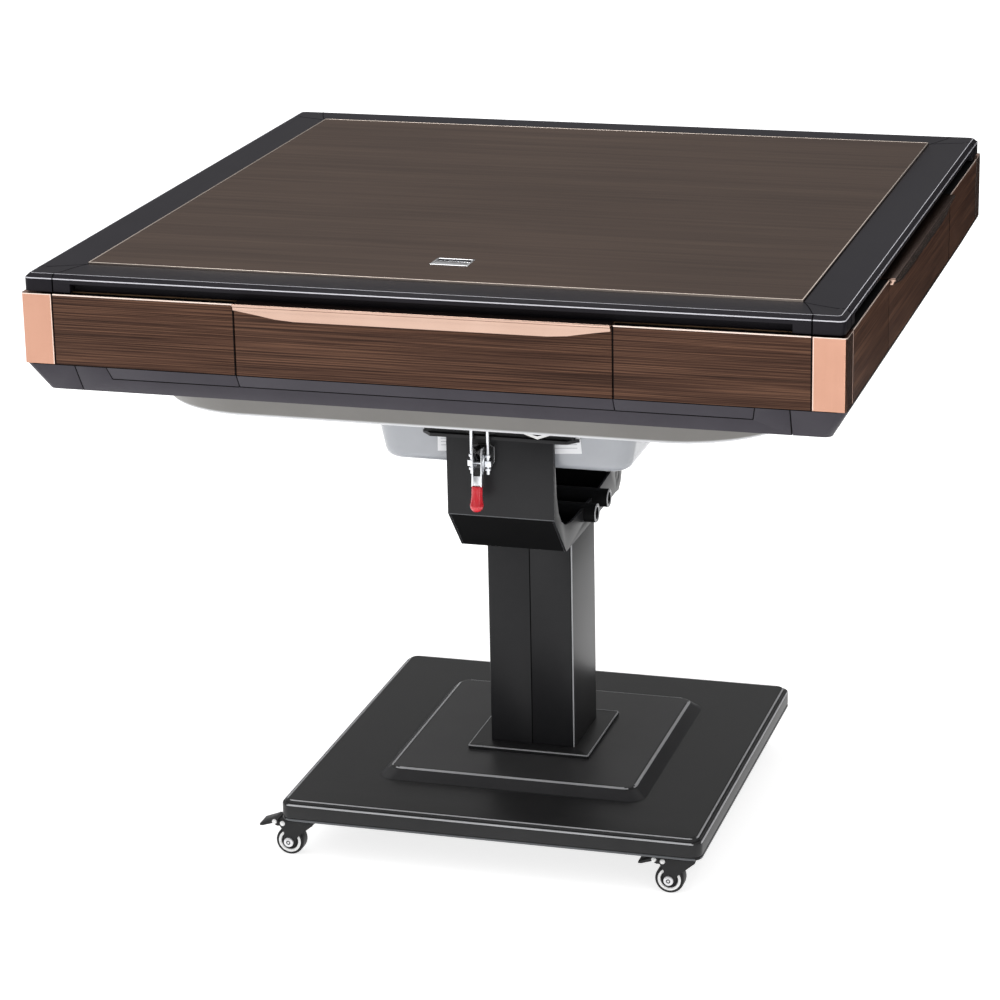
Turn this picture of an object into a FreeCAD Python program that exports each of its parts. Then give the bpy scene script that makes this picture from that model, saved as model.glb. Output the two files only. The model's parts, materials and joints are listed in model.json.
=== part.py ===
import FreeCAD, Part
import math
import os

# Square games table with a fold-up head on a central column and a castored base.
# Millimetres. +X right, +Y back, +Z up, origin on the floor under the centre.
V = FreeCAD.Vector
os.makedirs("parts", exist_ok=True)

# ---------------------------------------------------------------- driving sizes
TOP_Z = 790.0          # top of the bezel lip
HEAD = 475.0           # half width over the side panels
BEZEL = 467.0          # half width over the crown of the bezel
BODY = 472.0           # half width over the body of the bezel, under its chamfer
BODY_Z = 785.3
COVER = 415.5          # half width of the wood cover board
COVER_TOP = 792.0
COVER_T = 10.6
SEAT_Z = 781.2         # ledge in the bezel that the cover lies on
MAT_Z = 771.0          # playing surface
BOARD_T = 6.0
PANEL_Z0, PANEL_Z1 = 685.5, 768.0
PANEL_T = 12.0
SEAM_CORNER = 437.0    # joint between wood panel and metal corner
SEAM_DRAWER = 217.9    # joint between fixed panel and drawer front
SEAM = 0.6             # half of a visible seam
SKIRT_Z = 651.3        # bottom of the skirt
SKIRT_HALF = 455.7
STRIP_Z = 669.5        # lower edge of the inset strip
STRIP_HALF = 375.0
PAN_BOTTOM = 592.0
TUB_BOTTOM = 497.0
WALL = 3.0
DRAWER_TRAVEL = 100.0
HINGE_Y, HINGE_Z = 125.0, 405.0
HINGE_R = 8.0
SADDLE_HALF = 67.0
SADDLE_FRONT = -177.0
SADDLE_TOP = 537.0
COLUMN_X, COLUMN_Y = 55.0, 56.0
COLUMN_Z0, COLUMN_Z1 = 96.0, 382.0
BASE_HALF = 267.0
BASE_Z0, BASE_Z1 = 51.6, 78.0
PLATEAU_OUT, PLATEAU_TOP, PLATEAU_Z = 172.0, 157.0, 91.0
FLANGE_HALF = 79.0
CASTER = 243.0         # swivel axis from the centre lines
WHEEL_R = 18.0
WHEEL_W = 18.0
TRAIL = 18.0
PIN_X, PIN_Z = 25.5, 42.3   # pivot of a brake pedal, behind the swivel axis
LIFT_Y, LIFT_HALF_W, LIFT_HALF_L = 285.0, 23.0, 241.0
DISC_R = 232.0
CONSOLE_R = 112.0
CONSOLE_COL_R = 50.0
CLAMP_X = -21.0
CLAMP_Y, CLAMP_Z = -196.0, 525.0
TRUNNION_Y, TRUNNION_Z = -190.0, 509.5
ROD_DX = 10.3
ROD_R = 2.0


# ---------------------------------------------------------------- helpers
def box(x0, x1, y0, y1, z0, z1):
    return Part.makeBox(x1 - x0, y1 - y0, z1 - z0, V(x0, y0, z0))


def cyl(r, p, d, h):
    return Part.makeCylinder(r, h, V(*p), V(*d))


def fuse(*s):
    out = s[0]
    for o in s[1:]:
        out = out.fuse(o)
    return out.removeSplitter()


def poly(pts, d):
    """Closed polygon of 3-D points pushed along the vector d."""
    w = Part.makePolygon([V(*p) for p in pts] + [V(*pts[0])])
    return Part.Face(w).extrude(V(*d))


def prism_x(yz, x0, x1):
    return poly([(x0, y, z) for y, z in yz], (x1 - x0, 0, 0))


def prism_z(xy, z0, z1):
    return poly([(x, y, z0) for x, y in xy], (0, 0, z1 - z0))


def prism_y(xz, y0, y1):
    return poly([(x, y0, z) for x, z in xz], (0, y1 - y0, 0))


def rwire(hx, hy, r, z, cx=0.0, cy=0.0):
    """Rounded rectangle wire, starting at the same corner every time."""
    e = []
    k = r * (1 - math.sqrt(0.5))
    x0, x1, y0, y1 = cx - hx, cx + hx, cy - hy, cy + hy
    e.append(Part.LineSegment(V(x0 + r, y0, z), V(x1 - r, y0, z)).toShape())
    e.append(Part.Arc(V(x1 - r, y0, z), V(x1 - k, y0 + k, z), V(x1, y0 + r, z)).toShape())
    e.append(Part.LineSegment(V(x1, y0 + r, z), V(x1, y1 - r, z)).toShape())
    e.append(Part.Arc(V(x1, y1 - r, z), V(x1 - k, y1 - k, z), V(x1 - r, y1, z)).toShape())
    e.append(Part.LineSegment(V(x1 - r, y1, z), V(x0 + r, y1, z)).toShape())
    e.append(Part.Arc(V(x0 + r, y1, z), V(x0 + k, y1 - k, z), V(x0, y1 - r, z)).toShape())
    e.append(Part.LineSegment(V(x0, y1 - r, z), V(x0, y0 + r, z)).toShape())
    e.append(Part.Arc(V(x0, y0 + r, z), V(x0 + k, y0 + k, z), V(x0 + r, y0, z)).toShape())
    return Part.Wire(e)


def rslab(hx, hy, r, z0, z1, cx=0.0, cy=0.0):
    return Part.Face(rwire(hx, hy, r, z0, cx, cy)).extrude(V(0, 0, z1 - z0))


def dish(rings):
    """Solid through rounded squares: (half x, half y, corner radius, z)."""
    return Part.makeLoft([rwire(a, b, r, z) for a, b, r, z in rings], True, True)


def turn(s, k):
    """Copy turned k quarter turns about the vertical axis."""
    s = s.copy()
    s.rotate(V(0, 0, 0), V(0, 0, 1), 90.0 * k)
    return s


def four(s):
    return [turn(s, k) for k in range(4)]


def mirror_x(s):
    return s.mirror(V(0, 0, 0), V(1, 0, 0))


def save(node, solids):
    if not isinstance(solids, list):
        solids = [solids]
    flat = []
    for s in solids:
        flat += s.Solids
    shape = flat[0] if len(flat) == 1 else Part.makeCompound(flat)
    if not shape.isValid():
        print("INVALID", node)
    shape.exportStep("parts/" + node + ".step")
    print(node, len(flat), "volume", round(shape.Volume / 1000.0, 1), "cm3")


# ================================================================ head: casing
IN = HEAD - PANEL_T                      # 463, outside of the chassis walls
CH_T = 15.0
CH_IN = IN - CH_T

# boards of the casing: a floor in twelve pieces with a wide opening, and four walls,
# each of two end boards over a foot board, with a header over the drawer opening
DOOR_X, DOOR_Z0, DOOR_Z1 = 214.5, 668.0, 761.0
FLOOR_Z = SKIRT_Z + 6.0
block = rslab(IN, IN, 1.2, SKIRT_Z + 0.2, PANEL_Z1)
# the walls stand back where the sloping skirt passes
block = block.cut(box(-HEAD, HEAD, -HEAD, HEAD, SKIRT_Z - 1, PANEL_Z0).cut(
    Part.makeLoft([rwire(446.0, 446.0, 6, SKIRT_Z - 2), rwire(457.5, 457.5, 6, PANEL_Z0 + 1)], True, True)))
wall = block.common(prism_z([(-IN - 1, -IN - 1), (IN + 1, -IN - 1), (CH_IN, -CH_IN), (-CH_IN, -CH_IN)], SKIRT_Z, PANEL_Z1 + 1))
wall_low = wall.common(box(-HEAD, HEAD, -HEAD, HEAD, FLOOR_Z, DOOR_Z0))
wall_mid = wall.common(box(DOOR_X, HEAD, -HEAD, HEAD, DOOR_Z0, PANEL_Z0))
wall_end = wall.common(box(DOOR_X, HEAD, -HEAD, HEAD, PANEL_Z0, PANEL_Z1 + 1))
header = wall.common(box(-DOOR_X, DOOR_X, -HEAD, HEAD, DOOR_Z1, PANEL_Z1 + 1))
chassis = four(wall_low) + four(wall_mid) + four(mirror_x(wall_mid)) + four(wall_end) + four(mirror_x(wall_end)) + four(header)
sheet = block.common(box(-HEAD, HEAD, -HEAD, HEAD, SKIRT_Z, FLOOR_Z))
strip = sheet.common(box(-245, 245, -HEAD, -385, SKIRT_Z, FLOOR_Z))
knee = sheet.common(prism_z([(245, -HEAD), (HEAD, -HEAD), (344, -344), (245, -385)], SKIRT_Z, FLOOR_Z))
chassis += four(strip) + four(knee) + four(mirror_x(knee))
save("chassis_frame", chassis)

# runners the drawer trays slide on
run = []
for sx in (-1, 1):
    x0, x1 = sorted((sx * 196.0, sx * 209.0))
    run.append(box(x0, x1, -446, -330, SKIRT_Z + 6.0, 679.7))
runners = []
for r in run:
    runners += four(r)

# fixed wood panels, two on each side
panel = box(SEAM_DRAWER + SEAM, SEAM_CORNER - SEAM, -HEAD, -IN, PANEL_Z0 + 0.3, PANEL_Z1)
save("side_panels", four(panel) + four(mirror_x(panel)))

# metal corner covers
cc = rslab(HEAD, HEAD, 4.5, PANEL_Z0 + 0.3, PANEL_Z1).cut(rslab(IN, IN, 1.0, PANEL_Z0, PANEL_Z1 + 1))
cc = cc.common(box(SEAM_CORNER + 0.2, HEAD + 1, -HEAD - 1, -SEAM_CORNER - 0.2, PANEL_Z0, PANEL_Z1 + 1))
save("corner_covers", four(cc))

# skirt: a sloping moulding in eight lengths
skirt_yz = [(-HEAD, PANEL_Z0), (-SKIRT_HALF, SKIRT_Z), (-447.0, SKIRT_Z), (-459.0, PANEL_Z0)]
outer = Part.makeLoft([rwire(SKIRT_HALF, SKIRT_HALF, 9, SKIRT_Z), rwire(HEAD, HEAD, 10, PANEL_Z0)], True, True)
inner = Part.makeLoft([rwire(447.0, 447.0, 5, SKIRT_Z - 0.01), rwire(459.0, 459.0, 5, PANEL_Z0 + 0.01)], True, True)
ring = outer.cut(inner)
corner_box = prism_y([(414.6, PANEL_Z0 + 1), (413.2, SKIRT_Z - 1), (HEAD + 5, SKIRT_Z - 1), (HEAD + 5, PANEL_Z0 + 1)], -HEAD - 5, -SEAM_DRAWER)
cb2 = corner_box.common(turn(mirror_x(corner_box), 1))
skirt = four(ring.common(cb2))
mid = prism_y([(-413.6, PANEL_Z0 + 1), (-412.2, SKIRT_Z - 1), (412.2, SKIRT_Z - 1), (413.6, PANEL_Z0 + 1)], -HEAD - 5, -430)
notch = prism_y([(-STRIP_HALF - 0.5, PANEL_Z0 + 1), (-STRIP_HALF + 3.2, STRIP_Z), (STRIP_HALF - 3.2, STRIP_Z), (STRIP_HALF + 0.5, PANEL_Z0 + 1)], -HEAD - 5, -430)
skirt += four(ring.common(mid).cut(notch))
slope = (HEAD - SKIRT_HALF) / (PANEL_Z0 - SKIRT_Z)
strip_yz = [(-HEAD, PANEL_Z0 - 0.3), (-HEAD + slope * (PANEL_Z0 - STRIP_Z - 0.8), STRIP_Z + 0.8), (-462.0, STRIP_Z + 0.8), (-462.5, PANEL_Z0 - 0.3)]
st = prism_x(strip_yz, SEAM_DRAWER + SEAM, STRIP_HALF + 2).common(
    prism_y([(0, PANEL_Z0), (0, STRIP_Z), (STRIP_HALF - 4.0, STRIP_Z), (STRIP_HALF - 0.3, PANEL_Z0)], -HEAD - 1, -455))
save("skirt_sections", skirt + four(st) + four(mirror_x(st)))

# bezel: four rails and four corner pieces
rail_yz = [(-BODY, 780.0), (-BODY, BODY_Z), (-BEZEL, TOP_Z), (-460.5, TOP_Z),
           (-457.0, 789.3), (-COVER - 1.0, 789.8), (-COVER - 1.0, SEAT_Z), (-408.0, SEAT_Z), (-408.0, PANEL_Z1),
           (-457.5, PANEL_Z1), (-457.5, 780.0)]
rail_long = prism_x(rail_yz, -BODY, BODY)
# plan line of the joint between rail and corner piece, a shallow curve
a, b = V(436.5, -BODY - 0.01, 0), V(407.0, -407.0, 0)
m_in = V(427.0, -437.5, 0)
e1 = Part.Arc(a, m_in, b).toShape()
a2, b2 = V(BODY + 0.01, -436.5, 0), V(407.0, -407.0, 0)
e2 = Part.Arc(b2, V(437.5, -427.0, 0), a2).toShape()
e3 = Part.LineSegment(a2, V(480, -436.5, 0)).toShape()
e4 = Part.LineSegment(V(480, -436.5, 0), V(480, -480, 0)).toShape()
e5 = Part.LineSegment(V(480, -480, 0), V(436.5, -480, 0)).toShape()
e6 = Part.LineSegment(V(436.5, -480, 0), a).toShape()
cplan = Part.Face(Part.Wire([e1, e2, e3, e4, e5, e6])).extrude(V(0, 0, 60))
cplan.translate(V(0, 0, 750))
# square rim with its four sides mitred together, no slot under its corners
rim_yz = [(-478.0, 770.0), (-478.0, TOP_Z), (-460.5, TOP_Z),
          (-457.0, 789.3), (-COVER - 1.0, 789.8), (-COVER - 1.0, SEAT_Z), (-408.0, SEAT_Z), (-408.0, PANEL_Z1),
          (-457.5, PANEL_Z1), (-457.5, 770.0)]
rim_side = prism_x(rim_yz, -478.0, 478.0)
wedge = prism_z([(0, 0), (-480, -480), (480, -480)], 750, 810)
rim_m = rim_side.common(wedge)
rail_m = rail_long.common(wedge)
round_corner = dish([(BODY, BODY, 7, 750), (BODY, BODY, 7, BODY_Z), (BEZEL, BEZEL, 6, TOP_Z), (BEZEL, BEZEL, 6, 810)])
corner = rim_m.fuse(turn(rim_m, 1)).removeSplitter().common(cplan).common(round_corner)
save("bezel_corners", four(corner))
rail = rail_m.cut(cplan).cut(mirror_x(cplan))
# solid ends without the slot, outside x = 415
foot = prism_x([(-BODY, 770.0), (-BODY, 780.1), (-457.4, 780.1), (-457.4, 770.0)], 415.5, 436.4)
foot = foot.cut(cplan)
rail = fuse(rail, foot, mirror_x(foot))
save("bezel_rails", four(rail))

# ================================================================ head: playing surface
board = box(-CH_IN + 0.5, CH_IN - 0.5, -CH_IN + 0.5, CH_IN - 0.5, PANEL_Z1 - BOARD_T, PANEL_Z1)
mat = box(-407.6, 407.6, -407.6, 407.6, PANEL_Z1, MAT_Z)
slot = box(-LIFT_HALF_L - 1.5, LIFT_HALF_L + 1.5, -LIFT_Y - LIFT_HALF_W - 1.5, -LIFT_Y + LIFT_HALF_W + 1.5, 700, 800)
for k in range(4):
    board = board.cut(turn(slot, k))
    mat = mat.cut(turn(slot, k))
well = cyl(105.0, (0, 0, 700), (0, 0, 1), 120)
board = board.cut(well)
mat = mat.cut(well)
save("play_board", board)
save("play_mat", mat)

# tile lifts: one bar under each slot, with a web and foot
lift = [box(-LIFT_HALF_L, LIFT_HALF_L, -LIFT_Y - LIFT_HALF_W, -LIFT_Y + LIFT_HALF_W, MAT_Z - 4.0, MAT_Z),
        box(-225, 225, -LIFT_Y - 5, -LIFT_Y + 5, 716.0, MAT_Z - 4.0),
        box(-225, 225, -LIFT_Y - 20, -LIFT_Y + 20, 712.0, 716.0)]
save("tile_lifts", [turn(b, k) for b in lift for k in range(4)])
# feed channels: a floor strip, two long walls and two end walls each
FZ = SKIRT_Z + 15
feed = [box(-248, 248, -LIFT_Y - 30, -LIFT_Y + 30, SKIRT_Z + 12, FZ),
        box(-248, 248, -LIFT_Y - 30, -LIFT_Y - 25.5, FZ, 761.5), box(-248, 248, -LIFT_Y + 25.5, -LIFT_Y + 30, FZ, 761.5),
        box(-248, -243.5, -LIFT_Y - 25.5, -LIFT_Y + 25.5, FZ, 761.5), box(243.5, 248, -LIFT_Y - 25.5, -LIFT_Y + 25.5, FZ, 761.5)]
save("feed_channels", [turn(b, k) for b in feed for k in range(4)])
# steel cross bars that carry the channels and the shuffling bowl
bars = []
for y in (-200.0, 200.0):
    bars.append(box(-CH_IN, CH_IN, y - 12, y + 12, SKIRT_Z + 6.0, SKIRT_Z + 12.0))
runners = [r.cut(bars[0]).cut(bars[1]) for r in runners]

# console: a plate on a sleeve that rises to open the tile drop
# the sleeve's guide: a square frame of four bars, on two arms
G = CONSOLE_COL_R + 0.1
bridge = [box(-G - 8, G + 8, -G - 8, -G, 700, 750), box(-G - 8, G + 8, G, G + 8, 700, 750), box(-G - 8, -G, -G, G, 700, 750), box(G, G + 8, -G, G, 700, 750),
          box(-10, 10, -255, -G - 8, 712, 722), box(-10, 10, G + 8, 255, 712, 722)]
save("inner_rails", runners + bars + bridge)
con = fuse(cyl(CONSOLE_R, (0, 0, MAT_Z + 0.5), (0, 0, 1), 5.5), cyl(CONSOLE_COL_R, (0, 0, 690), (0, 0, 1), MAT_Z + 0.6 - 690))
con = con.cut(cyl(44.0, (0, 0, 752), (0, 0, 1), 60))
con = con.cut(cyl(9.3, (0, -80, MAT_Z + 1.5), (0, 0, 1), 10)).cut(cyl(9.3, (80, 0, MAT_Z + 1.5), (0, 0, 1), 10))
con = con.cut(cyl(40.0, (0, 0, 689), (0, 0, 1), 58))
save("console_disc", con)
dome = Part.makeSphere(120.0, V(0, 0, 780.6 - 120.0)).common(cyl(43.7, (0, 0, 771.5), (0, 0, 1), 20))
dome = dome.fuse(cyl(43.7, (0, 0, 771.5), (0, 0, 1), 3.0)).removeSplitter()
dome = dome.cut(Part.makeSphere(118.0, V(0, 0, 779.0 - 118.0 - 0.0)).common(cyl(41.5, (0, 0, 760), (0, 0, 1), 30))).cut(cyl(41.5, (0, 0, 770), (0, 0, 1), 2.5))
save("dice_dome", dome)
d1 = box(-20, -8, -8, 4, 752, 764)
d2 = box(6, 18, -2, 10, 752, 764)
save("dice", [d1, d2])
save("dice_button", cyl(9.0, (0, -80, MAT_Z + 4.3), (0, 0, 1), 4.5))
save("lift_button", cyl(9.0, (80, 0, MAT_Z + 4.3), (0, 0, 1), 4.5))

# shuffling bowl, its turning disc and the gear motor under it
bowl = cyl(246.0, (0, 0, 638), (0, 0, 1), 52).cut(cyl(240.0, (0, 0, 641), (0, 0, 1), 60)).cut(cyl(20.0, (0, 0, 630), (0, 0, 1), 20))
for b_ in bars:
    bowl = bowl.cut(b_)
save("shuffle_bowl", bowl)
disc = fuse(cyl(184.0, (0, 0, 644), (0, 0, 1), 6), Part.makeCone(70.0, 16.0, 22.0, V(0, 0, 650), V(0, 0, 1)),
            cyl(8.0, (0, 0, 604), (0, 0, 1), 41))
for ang in (20, 110, 200, 290):
    p = box(75, 178, -3, 3, 649.5, 653.0)
    p.rotate(V(0, 0, 0), V(0, 0, 1), ang)
    disc = disc.fuse(p)
save("shuffle_disc", disc.removeSplitter())
motor = fuse(box(-45, 45, -45, 45, 560, 612), cyl(30.0, (0, 0, 510), (0, 0, 1), 51), cyl(18.0, (0, 0, 611.9), (0, 0, 1), 12),
             box(-75, 75, -12, 12, 622.0, 637.9), box(-12, 12, -75, 75, 622.0, 637.9))
motor = motor.cut(cyl(8.06, (0, 0, 600), (0, 0, 1), 60))
save("gear_motor", motor)

# ================================================================ head: underside
pan_o = dish([(400, 400, 150, SKIRT_Z), (386, 386, 136, 622), (380.5, 380.5, 131, 610.8), (378, 378, 129, 608.6), (369, 369, 122, 606.2), (322, 322, 94, PAN_BOTTOM)])
pan_i = dish([(396.5, 396.5, 147, SKIRT_Z + 0.5), (382.6, 382.6, 133, 622.6), (376.5, 376.5, 127.5, 611.6), (368, 368, 121.5, 609.2), (320.5, 320.5, 93, PAN_BOTTOM + WALL)])
pan = pan_o.fuse(rslab(432, 432, 120, SKIRT_Z - 3.0, SKIRT_Z)).cut(pan_i).cut(rslab(151, 145, 34, PAN_BOTTOM - 5, PAN_BOTTOM + 10))
pan = pan.cut(box(238, 262, 233, 267, PAN_BOTTOM - 5, PAN_BOTTOM + 10)).cut(box(204, 226, 241, 259, PAN_BOTTOM - 5, PAN_BOTTOM + 10))
pan = pan.removeSplitter()
save("bottom_pan", pan)
tub_o = dish([(172.5, 172.5, 33, PAN_BOTTOM), (156.4, 162.9, 25.5, 512.3), (154.3, 160.8, 24, 504.5), (148.7, 155.2, 20, 499.0), (140.9, 147.4, 12, TUB_BOTTOM)])
tub_i = dish([(169.5, 169.5, 30, PAN_BOTTOM + 0.1), (153.4, 159.9, 22.5, 513.0), (151.3, 157.8, 21, 506.0), (146.2, 152.7, 17.5, 501.8), (139.9, 146.4, 11, TUB_BOTTOM + WALL)])
save("drum_tub", tub_o.cut(tub_i))
save("control_box", rslab(60, 40, 5, PAN_BOTTOM + WALL, PAN_BOTTOM + 42, -225, 120))
inlet = fuse(box(238.3, 261.7, 233.3, 266.7, PAN_BOTTOM - 1.5, PAN_BOTTOM + 24), box(234, 266, 229, 271, PAN_BOTTOM - 3.0, PAN_BOTTOM - 0.05))
inlet = inlet.cut(box(242, 258, 238, 262, PAN_BOTTOM - 4, PAN_BOTTOM + 14))
pins = [box(249.2, 250.8, 243.0 + d, 247.0 + d, PAN_BOTTOM - 0.5, PAN_BOTTOM + 14.5) for d in (-1.5, 5.0, 11.5)]
inlet = fuse(inlet, *pins)
sw_frame = fuse(box(204.3, 225.7, 241.3, 258.7, PAN_BOTTOM - 1.0, PAN_BOTTOM + 16), box(201, 229, 238, 262, PAN_BOTTOM - 2.5, PAN_BOTTOM - 0.05))
sw_frame = sw_frame.cut(box(207, 223, 244.0, 256.0, PAN_BOTTOM - 4, PAN_BOTTOM + 13))
save("power_inlet", [inlet, sw_frame])
rocker = prism_y([(209.2, PAN_BOTTOM - 4.5), (215, PAN_BOTTOM - 2.0), (220.8, PAN_BOTTOM - 1.2), (220.0, PAN_BOTTOM + 2.5), (215, PAN_BOTTOM + 6.0), (210.4, PAN_BOTTOM + 2.5)], 244.4, 255.6)
save("power_switch", rocker)

# steel frame that carries the head on the stand
rails = [box(s - 12, s + 12, -200, 200, 568, PAN_BOTTOM) for s in (-190, 190)]
landing = prism_z([(-85, -184), (85, -184), (98, -170.5), (-98, -170.5)], SADDLE_TOP + 0.3, 541.5)
web_f = box(-94, 94, -178, -174, 541.4, PAN_BOTTOM)
bar_f = box(-202, 202, -200, -174, 568, PAN_BOTTOM)
bar_r = box(-202, 202, 174, 200, 568, PAN_BOTTOM)
web_r = box(-100, 100, 174, 178, 507, PAN_BOTTOM)
screen = prism_x([(103.5, 394), (107.5, 394), (107.5, 425.5), (150, 471.5), (178, 503.5), (178, 507.5), (174, 507.5), (147, 474.5), (103.5, 427)], -55.6, 55.6)
mount = fuse(rails[0], rails[1], landing, web_f, bar_f, bar_r, web_r, screen)
for s in (-1, 1):
    x0 = 55.5 if s > 0 else -61.5
    arm = prism_x([(103.5, 394.0), (103.5, 427.0), (147.0, 474.5), (166.0, 490.0), (174.5, 506.0), (174.5, 570.0), (200.0, 570.0), (196.0, 515.0), (146.0, 399.0), (125.0, 385.0)], x0, x0 + 6)
    arm = arm.fuse(cyl(20.0, (x0, HINGE_Y, HINGE_Z), (1, 0, 0), 6))
    mount = mount.fuse(arm)
mount = mount.cut(cyl(HINGE_R + 0.06, (-80, HINGE_Y, HINGE_Z), (1, 0, 0), 160)).removeSplitter()
keeper = fuse(box(CLAMP_X - 18, CLAMP_X + 18, -186.5, -182.5, 546.0, 568.1), box(CLAMP_X - 6.8, CLAMP_X + 6.8, -189.2, -186.4, 546.0, 550.5))
save("mount_frame", fuse(mount, keeper))

# ================================================================ drawers
names = ["front", "right", "back", "left"]
tray = fuse(box(-208, 208, -IN + 3, -336, 680, 683), box(-208, -205, -IN + 3, -336, 680, 750), box(205, 208, -IN + 3, -336, 680, 750),
            box(-208, 208, -339, -336, 680, 750), box(-213.5, 213.5, -IN, -IN + 3, 671.0, 755.0),
            prism_x(strip_yz, -SEAM_DRAWER + SEAM, SEAM_DRAWER - SEAM), box(-213.5, 213.5, -463.0, -460.0, 671.0, 690.0))
fascia = box(-SEAM_DRAWER + SEAM, SEAM_DRAWER - SEAM, -HEAD, -IN, PANEL_Z0 + 0.3, PANEL_Z1 - 0.2)
lower = [(-217.2, 762.3), (-191, 758.0), (-168, 754.0), (-146, 752.5), (146, 752.5), (168, 754.0), (191, 758.0), (217.2, 762.3)]
pull = prism_y([(217.2, 770.0), (-217.2, 770.0)] + lower, -HEAD - 7.0, -HEAD)
pull = pull.cut(cyl(26.0, (-230, -HEAD - 29.5, 756.5), (1, 0, 0), 460))
lip = prism_x([(-HEAD - 7.0, 770.0), (-HEAD - 7.0, 767.2), (-HEAD - 5.0, 766.0), (-HEAD, 766.5), (-HEAD, PANEL_Z1), (-IN, PANEL_Z1), (-IN, 770.0)], -217.2, 217.2)
pull = fuse(pull, lip)
for k, n in enumerate(names):
    save(n + "_drawer_box", [turn(tray, k), turn(fascia, k)])
    save(n + "_drawer_pull", turn(pull, k))

# ================================================================ cover board
cov = box(-COVER + 1.6, COVER - 1.6, -COVER + 1.6, COVER - 1.6, COVER_TOP - COVER_T + 0.1, COVER_TOP)
PX0, PX1, PY0, PY1 = -28.0, 17.0, -346.0, -315.0
cov = cov.cut(box(PX0 - 0.1, PX1 + 0.1, PY0 - 0.1, PY1 + 0.1, 780, 796))
save("cover_board", cov)
edge = box(-COVER, COVER, -COVER, COVER, COVER_TOP - COVER_T + 0.1, COVER_TOP + 0.2).cut(box(-COVER + 1.6, COVER - 1.6, -COVER + 1.6, COVER - 1.6, 780, 796))
save("cover_edging", edge)
cup = box(PX0, PX1, PY0, PY1, COVER_TOP - 5.2, COVER_TOP + 0.6).cut(box(PX0 + 2.5, PX1 - 2.5, PY0 + 2.5, PY1 - 2.5, COVER_TOP - 4.4, COVER_TOP + 2))
save("pull_cup", cup)
bar = fuse(box(PX0 + 3, PX1 - 3, PY0 + 3.2, PY0 + 19.0, COVER_TOP - 2.4, COVER_TOP + 0.2), cyl(1.3, (PX0 + 3, PY0 + 4.6, COVER_TOP - 1.2), (1, 0, 0), PX1 - PX0 - 6))
save("pull_flap", bar)

# ================================================================ stand: saddle
side_yz = [(SADDLE_FRONT, SADDLE_TOP), (SADDLE_FRONT, 438.5), (-124.0, 382.0), (118.0, 382.0), (134.0, 380.6), (145.0, 388.5), (150.5, 399.0), (150.5, 411.0),
           (145.0, 421.5), (134.0, 429.5), (121.0, 430.6), (108.0, 424.0), (92.0, 416.5), (34.0, 412.5), (-19.0, 411.5), (-71.0, 411.0), (-100.0, 412.5), (-127.6, 417.4), (-145.0, 427.0),
           (-157.3, 441.6), (-165.0, 466.0), (-169.4, 501.0), (-171.5, SADDLE_TOP)]
plates = []
for x0 in (SADDLE_HALF - 3.0, -SADDLE_HALF):
    plates.append(prism_x(side_yz, x0, x0 + 3.0))
front_plate = box(-SADDLE_HALF, SADDLE_HALF, SADDLE_FRONT, SADDLE_FRONT + 3, 438.5, SADDLE_TOP)
cham = prism_x([(SADDLE_FRONT, 438.6), (-124.0, 382.0), (-119.6, 382.0), (-174.0, 439.9), (SADDLE_FRONT, 439.9)], -SADDLE_HALF, SADDLE_HALF)
bottom = box(-SADDLE_HALF, SADDLE_HALF, -124.0, 116.0, 382.0, 385.0)
saddle = fuse(plates[0], plates[1], front_plate, cham, bottom)
TUBES = [(10.0, 410.0, 11.6, 87.0), (-33.0, 403.5, 12.0, 82.5)]
for y, z, r, xe in TUBES:
    saddle = saddle.cut(cyl(r, (-120, y, z), (1, 0, 0), 240))
saddle = saddle.cut(cyl(HINGE_R, (-120, HINGE_Y, HINGE_Z), (1, 0, 0), 240))
save("saddle_bracket", saddle)
save("cross_tubes", [cyl(r, (-xe, y, z), (1, 0, 0), 2 * xe).cut(cyl(r - 4.0, (-xe - 1, y, z), (1, 0, 0), 2 * xe + 2)) for y, z, r, xe in TUBES])
pin = cyl(HINGE_R, (-66.9, HINGE_Y, HINGE_Z), (1, 0, 0), 133.8)

# column: two folded halves meeting in a seam, and a welded foot
half_c = rslab(COLUMN_X, COLUMN_Y, 3.0, COLUMN_Z0, COLUMN_Z1).cut(rslab(COLUMN_X - 3, COLUMN_Y - 3, 1.0, COLUMN_Z0 - 1, COLUMN_Z1 + 1))
save("column_halves", [half_c.common(box(0.35, 80, -80, 80, COLUMN_Z0, COLUMN_Z1)), half_c.common(box(-80, -0.35, -80, 80, COLUMN_Z0, COLUMN_Z1))])
fl = rslab(FLANGE_HALF, FLANGE_HALF, 2.0, PLATEAU_Z, COLUMN_Z0).cut(rslab(30, 30, 4, PLATEAU_Z - 1, COLUMN_Z0 + 1))
save("column_flange", fl)

# base: pressed steel cover with a raised middle, and a heavy plate in it
# the cover is cut into its walls, corners, top strips and raised middle, which meet face to face
S = BASE_Z1 - 3.0
rim = rslab(BASE_HALF, BASE_HALF, 14, BASE_Z0, S).cut(rslab(BASE_HALF - 2.5, BASE_HALF - 2.5, 11.5, BASE_Z0 - 1, S + 1))
top_skin = Part.makeLoft([rwire(BASE_HALF, BASE_HALF, 14, S), rwire(BASE_HALF - 3.0, BASE_HALF - 3.0, 11, BASE_Z1)], True, True).cut(
    rslab(PLATEAU_OUT - 2.5, PLATEAU_OUT - 2.5, 20, S - 1, BASE_Z1 + 1))
hump = Part.makeLoft([rwire(PLATEAU_OUT, PLATEAU_OUT, 22, BASE_Z1), rwire(PLATEAU_TOP, PLATEAU_TOP, 15, PLATEAU_Z)], True, True)
hollow = Part.makeLoft([rwire(PLATEAU_OUT - 2.5, PLATEAU_OUT - 2.5, 20, BASE_Z1), rwire(PLATEAU_TOP - 2.5, PLATEAU_TOP - 2.5, 13, PLATEAU_Z)], True, True)
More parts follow.
